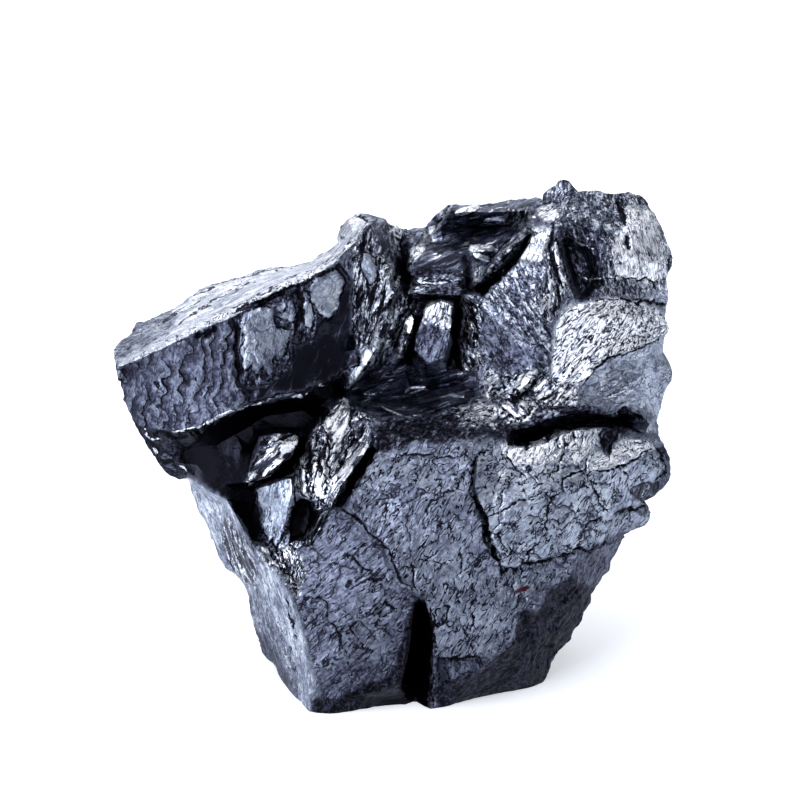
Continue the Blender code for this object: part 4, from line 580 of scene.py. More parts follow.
# Open cracks: width and depth in millimetres, and the route.
CRACKS = {
    "main_crack": (0.28, 0.45, [
        (7.5, -6.5), (7.2, -8), (7, -9), (7.6, -10.5), (8.5, -11.2), (8.6, -13), (9.2, -15),
        (9.8, -16), (10.2, -16.9), (11.5, -17.1), (12, -16.7), (14, -16.1), (16, -15.8), (18, -15),
        (20, -14.7), (21, -14),
    ]),
    "main_crack_top": (0.18, 0.2, [(7.5, -6.5), (6.6, -5.4), (5.2, -5.7), (2, -5.5), (-1.4, -5.6)]),
    "main_crack_branch": (0.2, 0.3, [
        (7.2, -6.6), (6.2, -7.6), (5.4, -8.8), (4.2, -9.5), (3, -10.3), (2.5, -11.5), (2.3, -13),
    ]),
    "block_left_edge": (0.2, 0.25, [(7.4, -6.6), (7.9, -5.4), (9.2, -4.9)]),
    "lip_sweep": (0.2, 0.2, [(10.6, -4.9), (11, -6.2), (11.9, -7.2), (13, -7.9)]),
    "bulge_outline": (0.2, 0.2, [
        (25.4, -4.2), (26.2, -5.2), (26.6, -6.4), (26.4, -7.4), (25.6, -8.4),
    ]),
    "second_crack": (0.2, 0.3, [
        (8.8, -11.6), (10, -11.2), (11.4, -10.3), (12.6, -9.9), (13.8, -9.4), (14.3, -9.2),
        (15, -9.8), (16.5, -9.2), (16.2, -8), (17, -7.3), (18.4, -7.1), (18.7, -6), (19, -5),
    ]),
    "third_crack": (0.17, 0.25, [(16.7, -3.4), (16.4, -5), (15.8, -6.5), (14.9, -7.9)]),
    "blade_gap": (0.32, 0.5, [(-3.2, -2), (-4.2, -3.6), (-5, -4.6), (-5.6, -5.8), (-6.4, -6.8)]),
    "blade_gap_2": (0.22, 0.4, [(-4.5, -0.6), (-5, -2), (-4.8, -3.4), (-5.6, -4.6)]),
    "blade_gap_3": (0.2, 0.3, [(-7.6, -2.6), (-7, -4.6), (-7.2, -6.4), (-6.6, -8.4)]),
    "blade_gap_4": (0.16, 0.3, [(-8.4, -3.4), (-8, -5.4), (-8.2, -7.6)]),
    "blade_gap_5": (0.16, 0.3, [(-9.6, -6.8), (-9.2, -7.8), (-9.3, -9.2)]),
    "bulge_crack": (0.22, 0.35, [(19.1, -7), (21, -7.2), (23, -6.2), (25, -5.2), (25.6, -4.9)]),
    "bulge_branch": (0.16, 0.2, [(22.4, -7), (22.7, -8), (22.8, -9)]),
    "right_crack": (0.18, 0.3, [(19, -7.8), (19.5, -9), (20, -10.3), (20.8, -11.3)]),
    "right_crack_2": (0.18, 0.3, [(21.2, -12.2), (20.2, -11.8), (18.8, -12.2), (18, -13.2)]),
    "plate_crack": (0.18, 0.22, [(14.9, -10), (14.7, -11.5), (14.6, -13), (14, -14)]),
    "plate_crack_2": (0.16, 0.22, [
        (8.8, -13.2), (9.8, -13.4), (10.4, -14.6), (11.4, -15.2), (12.4, -16.4),
    ]),
    "plate_crack_3": (0.16, 0.22, [(12, -16.6), (12.8, -15.4), (13.9, -14.2)]),
    "cross_crack": (0.14, 0.2, [(1.8, -15.9), (3, -16.2), (4.2, -16.4), (5.4, -15.9)]),
    "tall_crack": (0.16, 0.25, [(5.9, -15), (6.1, -17), (5.4, -18), (6, -19.8), (6, -20.5)]),
    "tall_crack_2": (0.15, 0.25, [(7.6, -18.6), (7.2, -20.4), (7.4, -22), (6.6, -24)]),
    "loop_crack": (0.16, 0.25, [
        (3.3, -22.4), (4, -22.6), (4.6, -21.8), (4.9, -20.8), (4.2, -20.4), (3.6, -21), (4, -21.8),
    ]),
    "notch_wall": (0.3, 0.3, [(3, -20.6), (3.4, -21.8), (3.2, -23.2), (3.5, -24.6)]),
    "notch_wall_2": (0.3, 0.3, [(3, -26.4), (3.3, -27.6), (3.1, -29), (3.4, -30.4)]),
    "notch_tooth": (0.26, 0.3, [(3.1, -22.4), (3.9, -22.9)]),
    "notch_tooth_2": (0.3, 0.3, [(1.2, -22.8), (0.7, -23.1)]),
    "lip_notch": (0.5, 0.5, [(14.5, -3.5), (14.9, -4.2)]),
    "lip_notch_2": (0.35, 0.4, [(12.6, -4.5), (12.8, -5.1)]),
    "lip_groove": (0.18, 0.25, [(17.6, -2.9), (17.2, -4.2), (16.6, -5.6)]),
    "lip_groove_2": (0.18, 0.25, [(18.5, -2.9), (18.2, -3.8), (18.3, -4.8)]),
    "lip_groove_3": (0.2, 0.25, [(15.9, -3), (15.7, -4), (15.9, -4.8)]),
    "hollow_fold": (0.16, 0.25, [(20.3, -3), (20.2, -4.1), (20.7, -5.5)]),
    "hollow_fold_2": (0.2, 0.3, [(21.9, -2.8), (21.3, -4.2), (20.9, -6.1)]),
    "bulge_line": (0.14, 0.15, [(22.4, -4.6), (23.6, -4.4), (25, -4.1)]),
    "bulge_line_2": (0.14, 0.15, [(22.2, -5.2), (23.4, -5), (24.6, -4.9)]),
    "star_arm": (0.34, 0.4, [(22.3, -0.9), (23.2, -1.3), (24.1, -1.8)]),
    "star_arm_2": (0.24, 0.3, [(22.3, -0.8), (21.8, -1.5)]),
    "notch_crack": (0.18, 0.25, [(1, -16), (1.3, -17), (1.4, -18.3), (1.8, -19.4)]),
    "short_crack": (0.15, 0.2, [(12.3, -16.7), (12.1, -17.7), (12, -18.3)]),
    "foot_plate_edge": (0.18, 0.3, [
        (3.4, -25.8), (5, -26), (6.3, -26), (7.8, -25.5), (8.2, -26.7),
    ]),
    "facet_step": (0.2, 0.3, [
        (-6, -15.6), (-5, -15.8), (-4, -16.4), (-3, -17.2), (-3.1, -18), (-2, -18), (-1.2, -17),
    ]),
    "facet_ridge": (0.26, 0.35, [
        (-6.4, -11.2), (-5, -11.1), (-4, -12), (-3, -13.3), (-2.2, -14.2), (-1.6, -14.6),
        (-1.1, -15), (-0.9, -16.2), (-0.4, -16.8), (0, -18), (0.9, -18.7), (1.5, -19.4),
    ]),
    "facet_scale": (0.19, 0.3, [
        (-9, -20), (-8, -19.6), (-7.5, -20.5), (-7.2, -22), (-6.5, -22.7), (-6, -23.5),
        (-5.9, -24.7), (-5.3, -25.2), (-4.8, -27),
    ]),
    "facet_crack": (0.15, 0.25, [
        (-5.5, -21), (-5, -22.3), (-4.7, -23.2), (-4.2, -24), (-3.5, -25),
    ]),
    "facet_knot": (0.15, 0.25, [
        (-2.4, -20.4), (-1.6, -20.2), (-0.8, -20.6), (-0.4, -21.2), (-1.4, -21.4),
    ]),
    "left_face_crack": (0.18, 0.25, [(-11.6, -19.6), (-10.9, -22), (-10.5, -24)]),
    "left_face_low_crack": (0.2, 0.25, [(-11, -24.5), (-10.9, -26.3), (-10.2, -27.7)]),
    "arm_crack": (0.3, 0.35, [(-10.3, 12), (-10, 10), (-9.9, 8.6), (-10.1, 7)]),
    "arm_gap": (0.3, 0.4, [(-16.7, 8.4), (-16.4, 7), (-16.6, 5.2), (-16.2, 3.4), (-16.3, 2)]),
    "seam": (0.28, 0.35, [(15.4, 17.7), (15.1, 16.1), (14.9, 14.4)]),
    "high_crack": (0.15, 0.22, [(19.9, 12.1), (22, 12.2), (24, 12), (26.4, 12.1)]),
    "low_crack": (0.13, 0.22, [(18.8, 10.1), (21, 10), (24, 10.1)]),
    "slit": (0.36, 0.4, [(23.5, 9.8), (24.6, 9.9), (26.4, 9.6)]),
    "slash": (0.4, 0.4, [(22.5, 16.8), (22.7, 15.9), (23, 15.2)]),
    "slash_2": (0.36, 0.3, [(21.8, 20.2), (22.2, 18.6), (22.6, 17.6)]),
    "nub_crack": (0.26, 0.3, [(21.5, -11.5), (23.5, -10.9), (24.5, -10.5)]),
    "horn_line": (0.26, 0.25, [(-4.3, 18.6), (-3.6, 18.1), (-3.05, 17.55)]),
    "horn_dot": (0.5, 0.3, [(-6, 16.5), (-5.8, 16)]),
    "arm_top_line": (0.13, 0.1, [(-21.6, 10), (-17.5, 11.9), (-13.6, 12.8), (-9.6, 13.5)]),
    "arm_top_line_2": (0.1, 0.1, [(-25.6, 6.6), (-22, 8.9), (-18.6, 10.7), (-15, 12.2)]),
    "arm_top_line_3": (0.13, 0.1, [(-22.6, 7.4), (-20.2, 9), (-17, 10.8), (-14, 12.1)]),
    "arm_top_line_4": (0.14, 0.1, [(-17, 8.9), (-14.6, 10.2), (-11.6, 11.8), (-9.6, 12.9)]),
    "arm_pit": (0.5, 0.5, [(-20.6, 6.4), (-19.5, 6.6), (-18.2, 7.2)]),
    "arm_pit_2": (0.32, 0.4, [(-14.6, 9.3), (-13.2, 10.1), (-11.4, 11), (-10.4, 11.7)]),
    "arm_low_edge": (0.3, 0.25, [(-24.6, -3.1), (-22.5, -3.6), (-20.8, -3.4), (-18.6, -2.3)]),
    "shell_border": (0.2, 0.2, [
        (18.2, 1.4), (19.3, 2.8), (20.9, 4.2), (22.9, 4.7), (25.2, 5.7), (26.4, 6.4),
    ]),
}

# Thin blades and slivers that stand up, each with a painted highlight along it: width and height
# in millimetres, and the route.
SLIVERS = {
    "alcove_crescent": (0.4, 0.4, [(5.6, 18.7), (6.4, 18.9), (7, 19.1), (8, 19.4)]),
    "alcove_thread": (0.22, 0.3, [(8.4, 18), (9.5, 18.15), (10.6, 18.1)]),
    "alcove_shard": (0.4, 0.5, [(6.9, 15.1), (8.2, 15.2), (9.6, 15)]),
    "alcove_shard_2": (0.3, 0.45, [(7.4, 14.5), (8.6, 14.2), (9.2, 13.8)]),
    "fin_thread": (0.18, 0.3, [(12.1, 15.3), (11, 13.9), (9.7, 12.1)]),
    "rib_1": (0.5, 0.6, [(-1.3, 9), (-1.9, 7), (-2.5, 5.4), (-3.2, 3.6)]),
    "rib_2": (0.4, 0.6, [(1.2, 8.4), (0.8, 7), (0.4, 5.9), (-0.2, 4.2)]),
    "rib_3": (0.25, 0.5, [(-0.2, 9.9), (-0.9, 7.4), (-1.5, 5.2)]),
    "rib_foot": (0.6, 0.45, [(-5.6, 1.2), (-4.6, 2.2), (-3.7, 3.4), (-3.2, 5)]),
    "rib_4": (0.22, 0.4, [(-0.2, 12.4), (-0.8, 10.8), (-1.5, 9.6)]),
    "curl": (0.4, 0.3, [(-1.9, 13.3), (-1, 13.4), (-0.9, 12.6), (-1.7, 12.4), (-1.9, 13.2)]),
    "saddle_ridge": (0.45, 0.4, [(-0.8, 17.2), (-0.2, 16.6), (0.2, 16)]),
    "crystal_1": (0.45, 0.5, [(8.6, 0.2), (9.2, 1.4), (9.8, 2.6)]),
    "crystal_2": (0.3, 0.4, [(9.8, 0.2), (10.4, 1.2)]),
    "crescent_blade": (0.5, 0.5, [(10.3, 0.1), (11.5, 0.8), (12.7, 2), (13.5, 3.2)]),
    "patch_line": (0.12, 0.12, [(20, 0), (22, 0.7), (23.2, 2)]),
    "patch_line_2": (0.12, 0.12, [(19.8, 0.8), (21.2, 1.8), (22.6, 2.4)]),
    "spine_sliver": (0.28, 0.35, [(15.5, 15.8), (15.7, 14.4), (16.1, 12.8), (16.6, 11.8)]),
    "spine_sliver_2": (0.35, 0.4, [(14.2, 8.6), (14.6, 10), (15.2, 11.9)]),
    "arm_low_thread": (0.17, 0.15, [
        (-23, -3.2), (-22, -3.2), (-21.2, -3.1), (-19.7, -2.7), (-18.3, -1.7), (-16.5, -0.9),
    ]),
    "arm_low_thread_2": (0.13, 0.15, [(-16.5, -0.9), (-14.6, -0.5), (-13.1, 0), (-12.2, 0.5)]),
    "keel_curl": (0.09, 0.1, [(-25.4, -2.7), (-25.3, -3.5), (-24.7, -3.95), (-23.8, -3.8)]),
    "keel_chip": (0.16, 0.1, [(-24.7, -4.8), (-24.2, -5.4)]),
    "keel_foot": (0.09, 0.1, [(-22.1, -6.5), (-21.5, -6.7), (-21.3, -7.1)]),
    "arm_low_shard": (0.3, 0.3, [(-11, 0.2), (-10.2, 0.4), (-9.4, 0.7)]),
    "arm_low_shard_2": (0.3, 0.3, [(-8.3, 1.4), (-7.4, 1.8)]),
    "bevel_edge": (0.5, 0.12, [
        (-28.3, 3.35), (-25.3, 4.8), (-22.6, 6.2), (-20, 7.5), (-17.6, 8.4), (-15, 9.8),
        (-12.4, 11.2), (-10, 12.2), (-8, 13.1), (-6.5, 14.3), (-4.7, 16), (-3.2, 17.5),
    ]),
    "hollow_scratch": (0.07, 0.05, [(16.2, 16.8), (17.8, 15.8), (19.8, 14.9)]),
    "hollow_scratch_2": (0.07, 0.05, [(17.2, 17.2), (18.6, 16.2), (20.2, 15.8)]),
    "hollow_scratch_3": (0.07, 0.05, [(17.6, 12.6), (18.8, 12), (20.2, 12.2)]),
    "cavity_ring": (0.14, 0.1, [(0.4, 0.6), (1.2, 1.2), (2.2, 1.3), (3, 0.9)]),
    "cavity_ring_2": (0.14, 0.1, [(-1.8, -0.7), (-0.8, -1.3), (0.4, -1.7)]),
    "cavity_ring_3": (0.12, 0.1, [(4, 0.2), (5.2, 0.5), (6.4, 0.2)]),
    "undercut_fold": (0.16, 0.25, [
        (-15.7, -1.4), (-14.9, -2.6), (-14.4, -3.8), (-14.7, -5.8), (-15.1, -7.6),
    ]),
    "bright_flake": (0.5, 0.2, [(9.8, -7.4), (10.6, -7.7)]),
    "rubble_shard": (0.3, 0.3, [(-11.3, -15), (-10.7, -14.4)]),
    "rubble_shard_2": (0.25, 0.3, [(-11.8, -16.6), (-11.1, -16.9)]),
}

# Rounded scoops where a chip came away: centre, radius and depth in millimetres.
SCOOPS = {
    "right_upper": ((16.5, -18.9), 1.5, 0.5),
    "right_middle": ((14.6, -22.0), 1.4, 0.4),
    "right_lower": ((14.4, -25.6), 1.5, 0.5),
    "foot": ((12.2, -23.4), 1.2, 0.35),
    "facet": ((-1.6, -20.8), 1.1, 0.3),
    "plate": ((11.6, -19.8), 1.0, 0.2),
}

# Scars of the hidden side: finish, noise, which side of the noise they lie on, and how rare.
BACK_FINISHES = (
    ("dark_satin", "satin_scars", 1, 1.0),
    ("bright_satin", "satin_scars", -1, 1.0),
    ("glass", "glass_scars", 1, 4.0),
)

# Faces that point different ways break differently: how far a face's direction shifts the scars'
# noise, in millimetres, and how sharp the scars' borders are.
SCAR_TURN = 14
SCAR_SHARPNESS = 12

# A stain of iron rust: centre, half its length and half its width in millimetres, and its slope.
RUST_CENTRE = (12.3, -18.9)
RUST_REACH = (0.85, 0.26)
RUST_SLOPE = math.radians(20)

# Softboxes round the stone: place and side in metres, watts, and colour.
SOFTBOXES = {
    "overhead_softbox": ((0.0, 0.15, 0.9), 1.5, 7.5, "#ffffff"),
    "back_softbox": ((-0.1, 0.9, 0.5), 0.8, 2.5, "#ffffff"),
    "left_softbox": ((-0.6, -0.25, 0.35), 0.4, 1.2, "#eef4ff"),
    "front_softbox": ((-0.5, -0.8, 0.6), 0.6, 8, "#f4f6ff"),
}

# The stone's middle and half of the floor's side, in metres.
STONE_MIDDLE = (0, 0, 0.025)
FLOOR_HALF = 3


def srgb(code):
    """The linear colour of a six-digit sRGB hex code."""
    parts = [int(code[i:i + 2], 16) / 255 for i in (1, 3, 5)]
    return [*(c / 12.92 if c <= 0.04045 else ((c + 0.055) / 1.055) ** 2.4 for c in parts), 1.0]


def on_sheet(points):
    """(across, up) in millimetres of points in the stone's frame, as the eye sees them."""
    sin, cos = math.sin(SHEET_LEAN), math.cos(SHEET_LEAN)
    x, y, z = (points / MM - SHEET_CENTRE).T
    spread = 1 + (y * cos - z * sin) / SIGHT_DISTANCE
    return np.column_stack([x / spread, (y * sin + z * cos) / spread])


def distance_to_route(spots, route, width=None):
    """How far each spot is from a line through the route's points.

    With a width, the line tapers almost to points at its ends, and the distance is in widths.
    """
    route = np.array(route, float)
    runs = np.hypot(*np.diff(route, axis=0).T)
    nearest = np.full(len(spots), np.inf)
    passed = 0.0
    for start, end, run in zip(route, route[1:], runs):
        step = end - start
        share = np.clip((spots - start) @ step / run**2, 0, 1)
        away = np.hypot(*(spots - start - share[:, None] * step).T)
        if width:
            from_middle = np.abs(2 * (passed + share * run) / runs.sum() - 1)
            away /= width * np.sqrt(1.02 - from_middle**3)
        nearest = np.minimum(nearest, away)
        passed += run
    return nearest


def inside(spots, ring):
    """Whether each spot lies within a closed ring."""
    crossed = np.zeros(len(spots), bool)
    for (x0, y0), (x1, y1) in zip(ring, np.roll(ring, -1, axis=0)):
        if y0 != y1:
            spans = (spots[:, 1] > y0) != (spots[:, 1] > y1)
            crossed ^= spans & (spots[:, 0] < x0 + (spots[:, 1] - y0) / (y1 - y0) * (x1 - x0))
    return crossed


def inwards(spots, ring):
    """How far inside the ring each spot is, or how far outside as a negative distance."""
    ring = np.array(ring, float)
    near = distance_to_route(spots, np.vstack([ring, ring[:1]]))
    return np.where(inside(spots, ring), near, -near)


def noise_at(points, name):
    """One of the named noises at each point, about -1 to 1."""
    size, seed, octaves = NOISES[name]
    rows = (points / size + seed).tolist()
    if octaves == 1:
        return np.array([noise.noise(row) for row in rows])
    return np.array([noise.fractal(row, OCTAVE_FALL, OCTAVE_RATIO, octaves) for row in rows])


def wander_at(points, kind, reach):
    """A shift on the sheet for each point, so that drafted lines wander like broken ones."""
    return reach * np.column_stack([noise_at(points, f"{kind}_{way}") for way in ("across", "up")])


def wanted_edges(points, facing):
    """The edge length wanted at each point, in metres: finest at the open cracks."""
    spots = on_sheet(points)
    gap = np.full(len(spots), np.inf)
    for width, _, route in CRACKS.values():
        gap = np.minimum(gap, distance_to_route(spots, route, width))
    size = np.where(facing, FRONT_EDGE, BACK_EDGE)
    return np.where(facing & (gap < RIM), CRACK_EDGE, size) * MM


def refined(node):
    """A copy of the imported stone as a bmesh, split finely, with its creases marked sharp."""
    stone = bmesh.new()
    stone.from_mesh(node.data)
    bmesh.ops.remove_doubles(stone, verts=stone.verts, dist=SAME_PLACE)
    bmesh.ops.triangulate(stone, faces=stone.faces)
    to_eye = Vector(TO_EYE)
    stone.normal_update()
    facing = stone.faces.layers.int.new("facing")
    for face in stone.faces:
        face[facing] = int(face.normal.dot(to_eye) > LEAST_FACING)
    for edge in stone.edges:
        edge.smooth = edge.calc_face_angle(0) < CREASE_ANGLE
    for _ in range(REFINING_ROUNDS):
        edges = list(stone.edges)
        ends = np.array([[v.co[:] for v in e.verts] for e in edges])
        front = np.array([any(f[facing] for f in e.link_faces) for e in edges])
        length = np.linalg.norm(ends[:, 0] - ends[:, 1], axis=1)
        long = length > wanted_edges(ends.mean(1), front) * SPLIT_OVER
        chosen = [e for e, split in zip(edges, long) if split]
        if not chosen:
            break
        bmesh.ops.subdivide_edges(stone, edges=chosen, cuts=1)
        bmesh.ops.triangulate(stone, faces=[f for f in stone.faces if len(f.verts) > 3])
        inner = [e for e in stone.edges if e.smooth and len(e.link_faces) == 2]
        bmesh.ops.beautify_fill(stone, faces=stone.faces, edges=inner, method="ANGLE")
        soften(stone)
    drop_folds(stone)
    return stone


def drop_folds(stone):
    """Takes out pairs of faces that lie folded flat on each other, which closes the surface."""
    while True:
        alike = {}
        for face in stone.faces:
            alike.setdefault(frozenset(face.verts), []).append(face)
        folded = [f for faces in alike.values() for f in faces[len(faces) % 2:]]
        if not folded:
            break
        bmesh.ops.delete(stone, geom=folded, context="FACES")


def soften(stone):
    """Rounds the faces between the creases, which stay where they are.

    Each pass moves a point half way to the middle of its neighbours.
    """
    points = np.array([v.co[:] for v in stone.verts])
    stone.verts.index_update()
    ends = np.array([[v.index for v in e.verts] for e in stone.edges])
    sharp = np.array([not e.smooth for e in stone.edges])
    held = np.zeros(len(points), bool)
    held[ends[sharp].ravel()] = True
    held |= points[:, 2] < SAME_PLACE
    count = np.bincount(ends.ravel(), minlength=len(points))
    for _ in range(SOFTENING_PASSES):
        total = np.zeros_like(points)
        for axis in range(3):
            total[:, axis] = np.bincount(ends[:, 0], points[ends[:, 1], axis], len(points))
            total[:, axis] += np.bincount(ends[:, 1], points[ends[:, 0], axis], len(points))
        moved = points + 0.5 * (total / count[:, None] - points)
        points = np.where(held[:, None], points, moved)
    for v, point in zip(stone.verts, points):
        v.co = point


def finishes_at(place, normals, spots, front):
    """What the surface is like at each point: qualities, rise, painted edge shadow and grain."""
    warped = spots + wander_at(place, "border", BORDER_WANDER)
    sheets = {name: np.array([f.get(q, 0.0) for q in QUALITIES]) for name, f in FINISHES.items()}
    values = np.tile(sheets["satin"], (len(place), 1))
    glass, rise, edge = np.zeros((3, len(place)))
    angle = np.full(len(place), OWN_GRAIN)
    for finish, noise_name, side, rarity in BACK_FINISHES:
        scar = noise_at(place + SCAR_TURN * normals, noise_name)
        cover = np.clip(side * scar * SCAR_SHARPNESS - rarity, 0, 1) * (1 - front)
        values += (sheets[finish] - values) * cover[:, None]
    for finish, degrees, height, ring in AREAS.values():
        deep = inwards(warped, ring)
        cover = np.clip(0.5 + deep / BORDER, 0, 1) * front
        glass = np.maximum(glass, cover) if finish in CLEAR_GLASSES else glass * (1 - cover)
        values += (sheets[finish] - values) * cover[:, None]
        rise += (height - rise) * cover
        # Painted shadow along a raised area's edge, cleared inside later areas.
        edge *= 1 - np.clip(0.5 + (deep - 0.3) / BORDER, 0, 1)
        if height:
            edge = np.maximum(edge, np.clip(1 - np.abs(deep) / STEP_SHADOW, 0, 1) * front)
        angle = np.where(cover > 0.5, math.radians(degrees), angle)
    along = spots[:, 0] * np.cos(angle) + spots[:, 1] * np.sin(angle)
    across = spots[:, 1] * np.cos(angle) - spots[:, 0] * np.sin(angle)
    quality = {name: values[:, k] for k, name in enumerate(QUALITIES)}
    return quality | {"glass": glass}, rise, edge, np.column_stack([along, across, place[:, 1]])


def relief_at(place, spots, towards, quality, grain):
    """How far the marks of the break stand at each point, in millimetres."""
    height = LUMP_RISE * noise_at(place, "lumps")

    # Flakes that overlap like shingles, each sloping down to the next one's lip.
    flake = FLAKE_STEPS * noise_at(grain * FLAKE_GRAIN, "flakes") % 1
    flake_top = np.minimum(flake / FLAKE_LIP, 1) - 0.75 * flake
    height += quality["crazing"] * FLAKE_RISE * flake_top

    # Broad steps on the hidden side, and small chips where the surface is edge-on to the eye.
    hidden = np.clip(-4 * towards - 0.6, 0, 1)
    step = BACK_STEPS * noise_at(place, "back_steps") % 1
    height += hidden * BACK_STEP_RISE * (np.minimum(step / BACK_LIP, 1) - step - 0.4)
    sideways = np.clip(1 - 4 * np.abs(towards), 0, 1)
    height += sideways * SIDE_CHIP_RISE * noise_at(place, "side_chips")

    # Layers along the grain, shell-like ripples round the glass's swells, and grit over all.
    layers = noise_at(grain * LAYER_GRAIN, "layers")
    height += quality["layers"] * LAYER_RISE * (1 - 2 * np.abs(layers))
    swell = noise_at(place, "swells")
    ripple = np.sin(9 * swell + 2.2 * spots[:, 0])
    height += quality["ripples"] * (SWELL_RISE * swell + RIPPLE_RISE * ripple)
    return height + (GRAIN_RISE + GRIT_RISE * quality["grit"]) * noise_at(place, "grit")


def scale_columns(place, grain):
    """The arm's scales lie in columns with scalloped edges: which column each point is in."""
    along, across, _ = grain.T
    drift = noise_at(place, "scale_drift")
    stagger = SCALE_STAGGER * np.floor(across / SCALE_WIDTH)
    row = along / SCALE_LENGTH + stagger + 0.6 * drift
    return across / SCALE_WIDTH + SCALLOP * np.abs(np.sin(math.pi * row)) + SCALE_SWAY * drift


def rust_at(spots):
    """How rusty each spot is, up to 1 in the middle of the stain."""
    across, up = (spots - RUST_CENTRE).T
    half_length, half_width = RUST_REACH
    sin, cos = math.sin(RUST_SLOPE), math.cos(RUST_SLOPE)
    along = (across * cos + up * sin) / half_length
    aside = (up * cos - across * sin) / half_width
    return np.clip(1.5 - np.hypot(along, aside), 0, 1)


def work_over(points, normals):
    """Moves the points by the break's marks; returns them with the surface and its painted light.
    """
    place, spots = points / MM, on_sheet(points)
    towards = normals @ np.array(TO_EYE)

    # The drafted marks end unevenly where the surface turns away from the eye.
    turn = np.clip(noise_at(place, "turning"), 0, 1) * 0.5
    front = np.clip((towards + turn) * 8, 0, 1)
    quality, rise, dark, grain = finishes_at(place, normals, spots, front)
    height = rise + relief_at(place, spots, towards, quality, grain)
    column = scale_columns(place, grain)
    quality["scales"] *= np.clip(0.8 + noise_at(place, "scale_wear"), 0.3, 1)
    height += quality["scales"] * SCALE_RISE * (0.5 - column % 1)

    wander = wander_at(place, "crack", CRACK_WANDER)
    for width, depth, route in CRACKS.values():
        gap = distance_to_route(spots + wander, route, width)
        height -= depth * np.clip(1 - gap, 0, 1) * front
        # Painted shade along each open crack, a little wider than its groove.
        dark = np.maximum(dark, np.clip(1 - gap / RIM, 0, 1) * front)
    for centre, radius, depth in SCOOPS.values():
        reach = np.hypot(*(spots + SCOOP_WANDER * wander - centre).T) / radius
        height -= depth * np.clip(1 - reach**2, 0, 1) * front
    # Painted highlight along each sliver.
    painted_highlight = np.zeros(len(points))
    for width, above, route in SLIVERS.values():
        gap = distance_to_route(spots + SLIVER_WANDER * wander, route, width)
        height += above * np.clip(1 - gap, 0, 1) * front
        painted_highlight = np.maximum(painted_highlight, np.clip(1 - gap / RIM, 0, 1) * front)

    raised = np.clip(place[:, 2] / FOOT_FADE, 0, 1)
    moved = points + normals * (height * raised * MM)[:, None]
    moved[:, 2] = np.maximum(moved[:, 2], 0)
    marks = {"dark": dark, "painted_highlight": painted_highlight, "rust": rust_at(spots) * front, "column": column}
    return moved, quality | marks, grain


def build_stone(node):
    """The fine stone, with its surface and painted light and shade kept as attributes for the
    material.
    """
    stone = refined(node)
    mesh = bpy.data.meshes.new("shungite_nugget")
    stone.to_mesh(mesh)
    stone.free()
    count = len(mesh.vertices)
    points, normals = np.empty(count * 3), np.empty(count * 3)
    mesh.vertices.foreach_get("co", points)
    mesh.vertices.foreach_get("normal", normals)
    moved, quality, grain = work_over(points.reshape(-1, 3), normals.reshape(-1, 3))
    mesh.vertices.foreach_set("co", moved.ravel())
    for name, values in quality.items():
        mesh.attributes.new(name, "FLOAT", "POINT").data.foreach_set("value", values)
    mesh.attributes.new("grain", "FLOAT_VECTOR", "POINT").data.foreach_set("vector", grain.ravel())
    mesh.polygons.foreach_set("use_smooth", [True] * len(mesh.polygons))
    piece = bpy.data.objects.new("shungite_nugget", mesh)
    bpy.context.scene.collection.objects.link(piece)
    return piece


def node_with(tree, kind, *inputs, **settings):
    """Adds a shader node with its settings. Its inputs, sockets or values, come in their order.

    Inputs that go by name come in a dictionary. A socket is linked, and a value is set.
    """
    made = tree.nodes.new("ShaderNode" + kind)
    for name, value in settings.items():
        setattr(made, name, value)
    wanted = {}
    for order, value in enumerate(inputs):
        wanted.update(value if isinstance(value, dict) else {order: value})
    for name, value in wanted.items():
        if isinstance(value, bpy.types.NodeSocket):
            tree.links.new(value, made.inputs[name])
        else:
            made.inputs[name].default_value = value
    return made


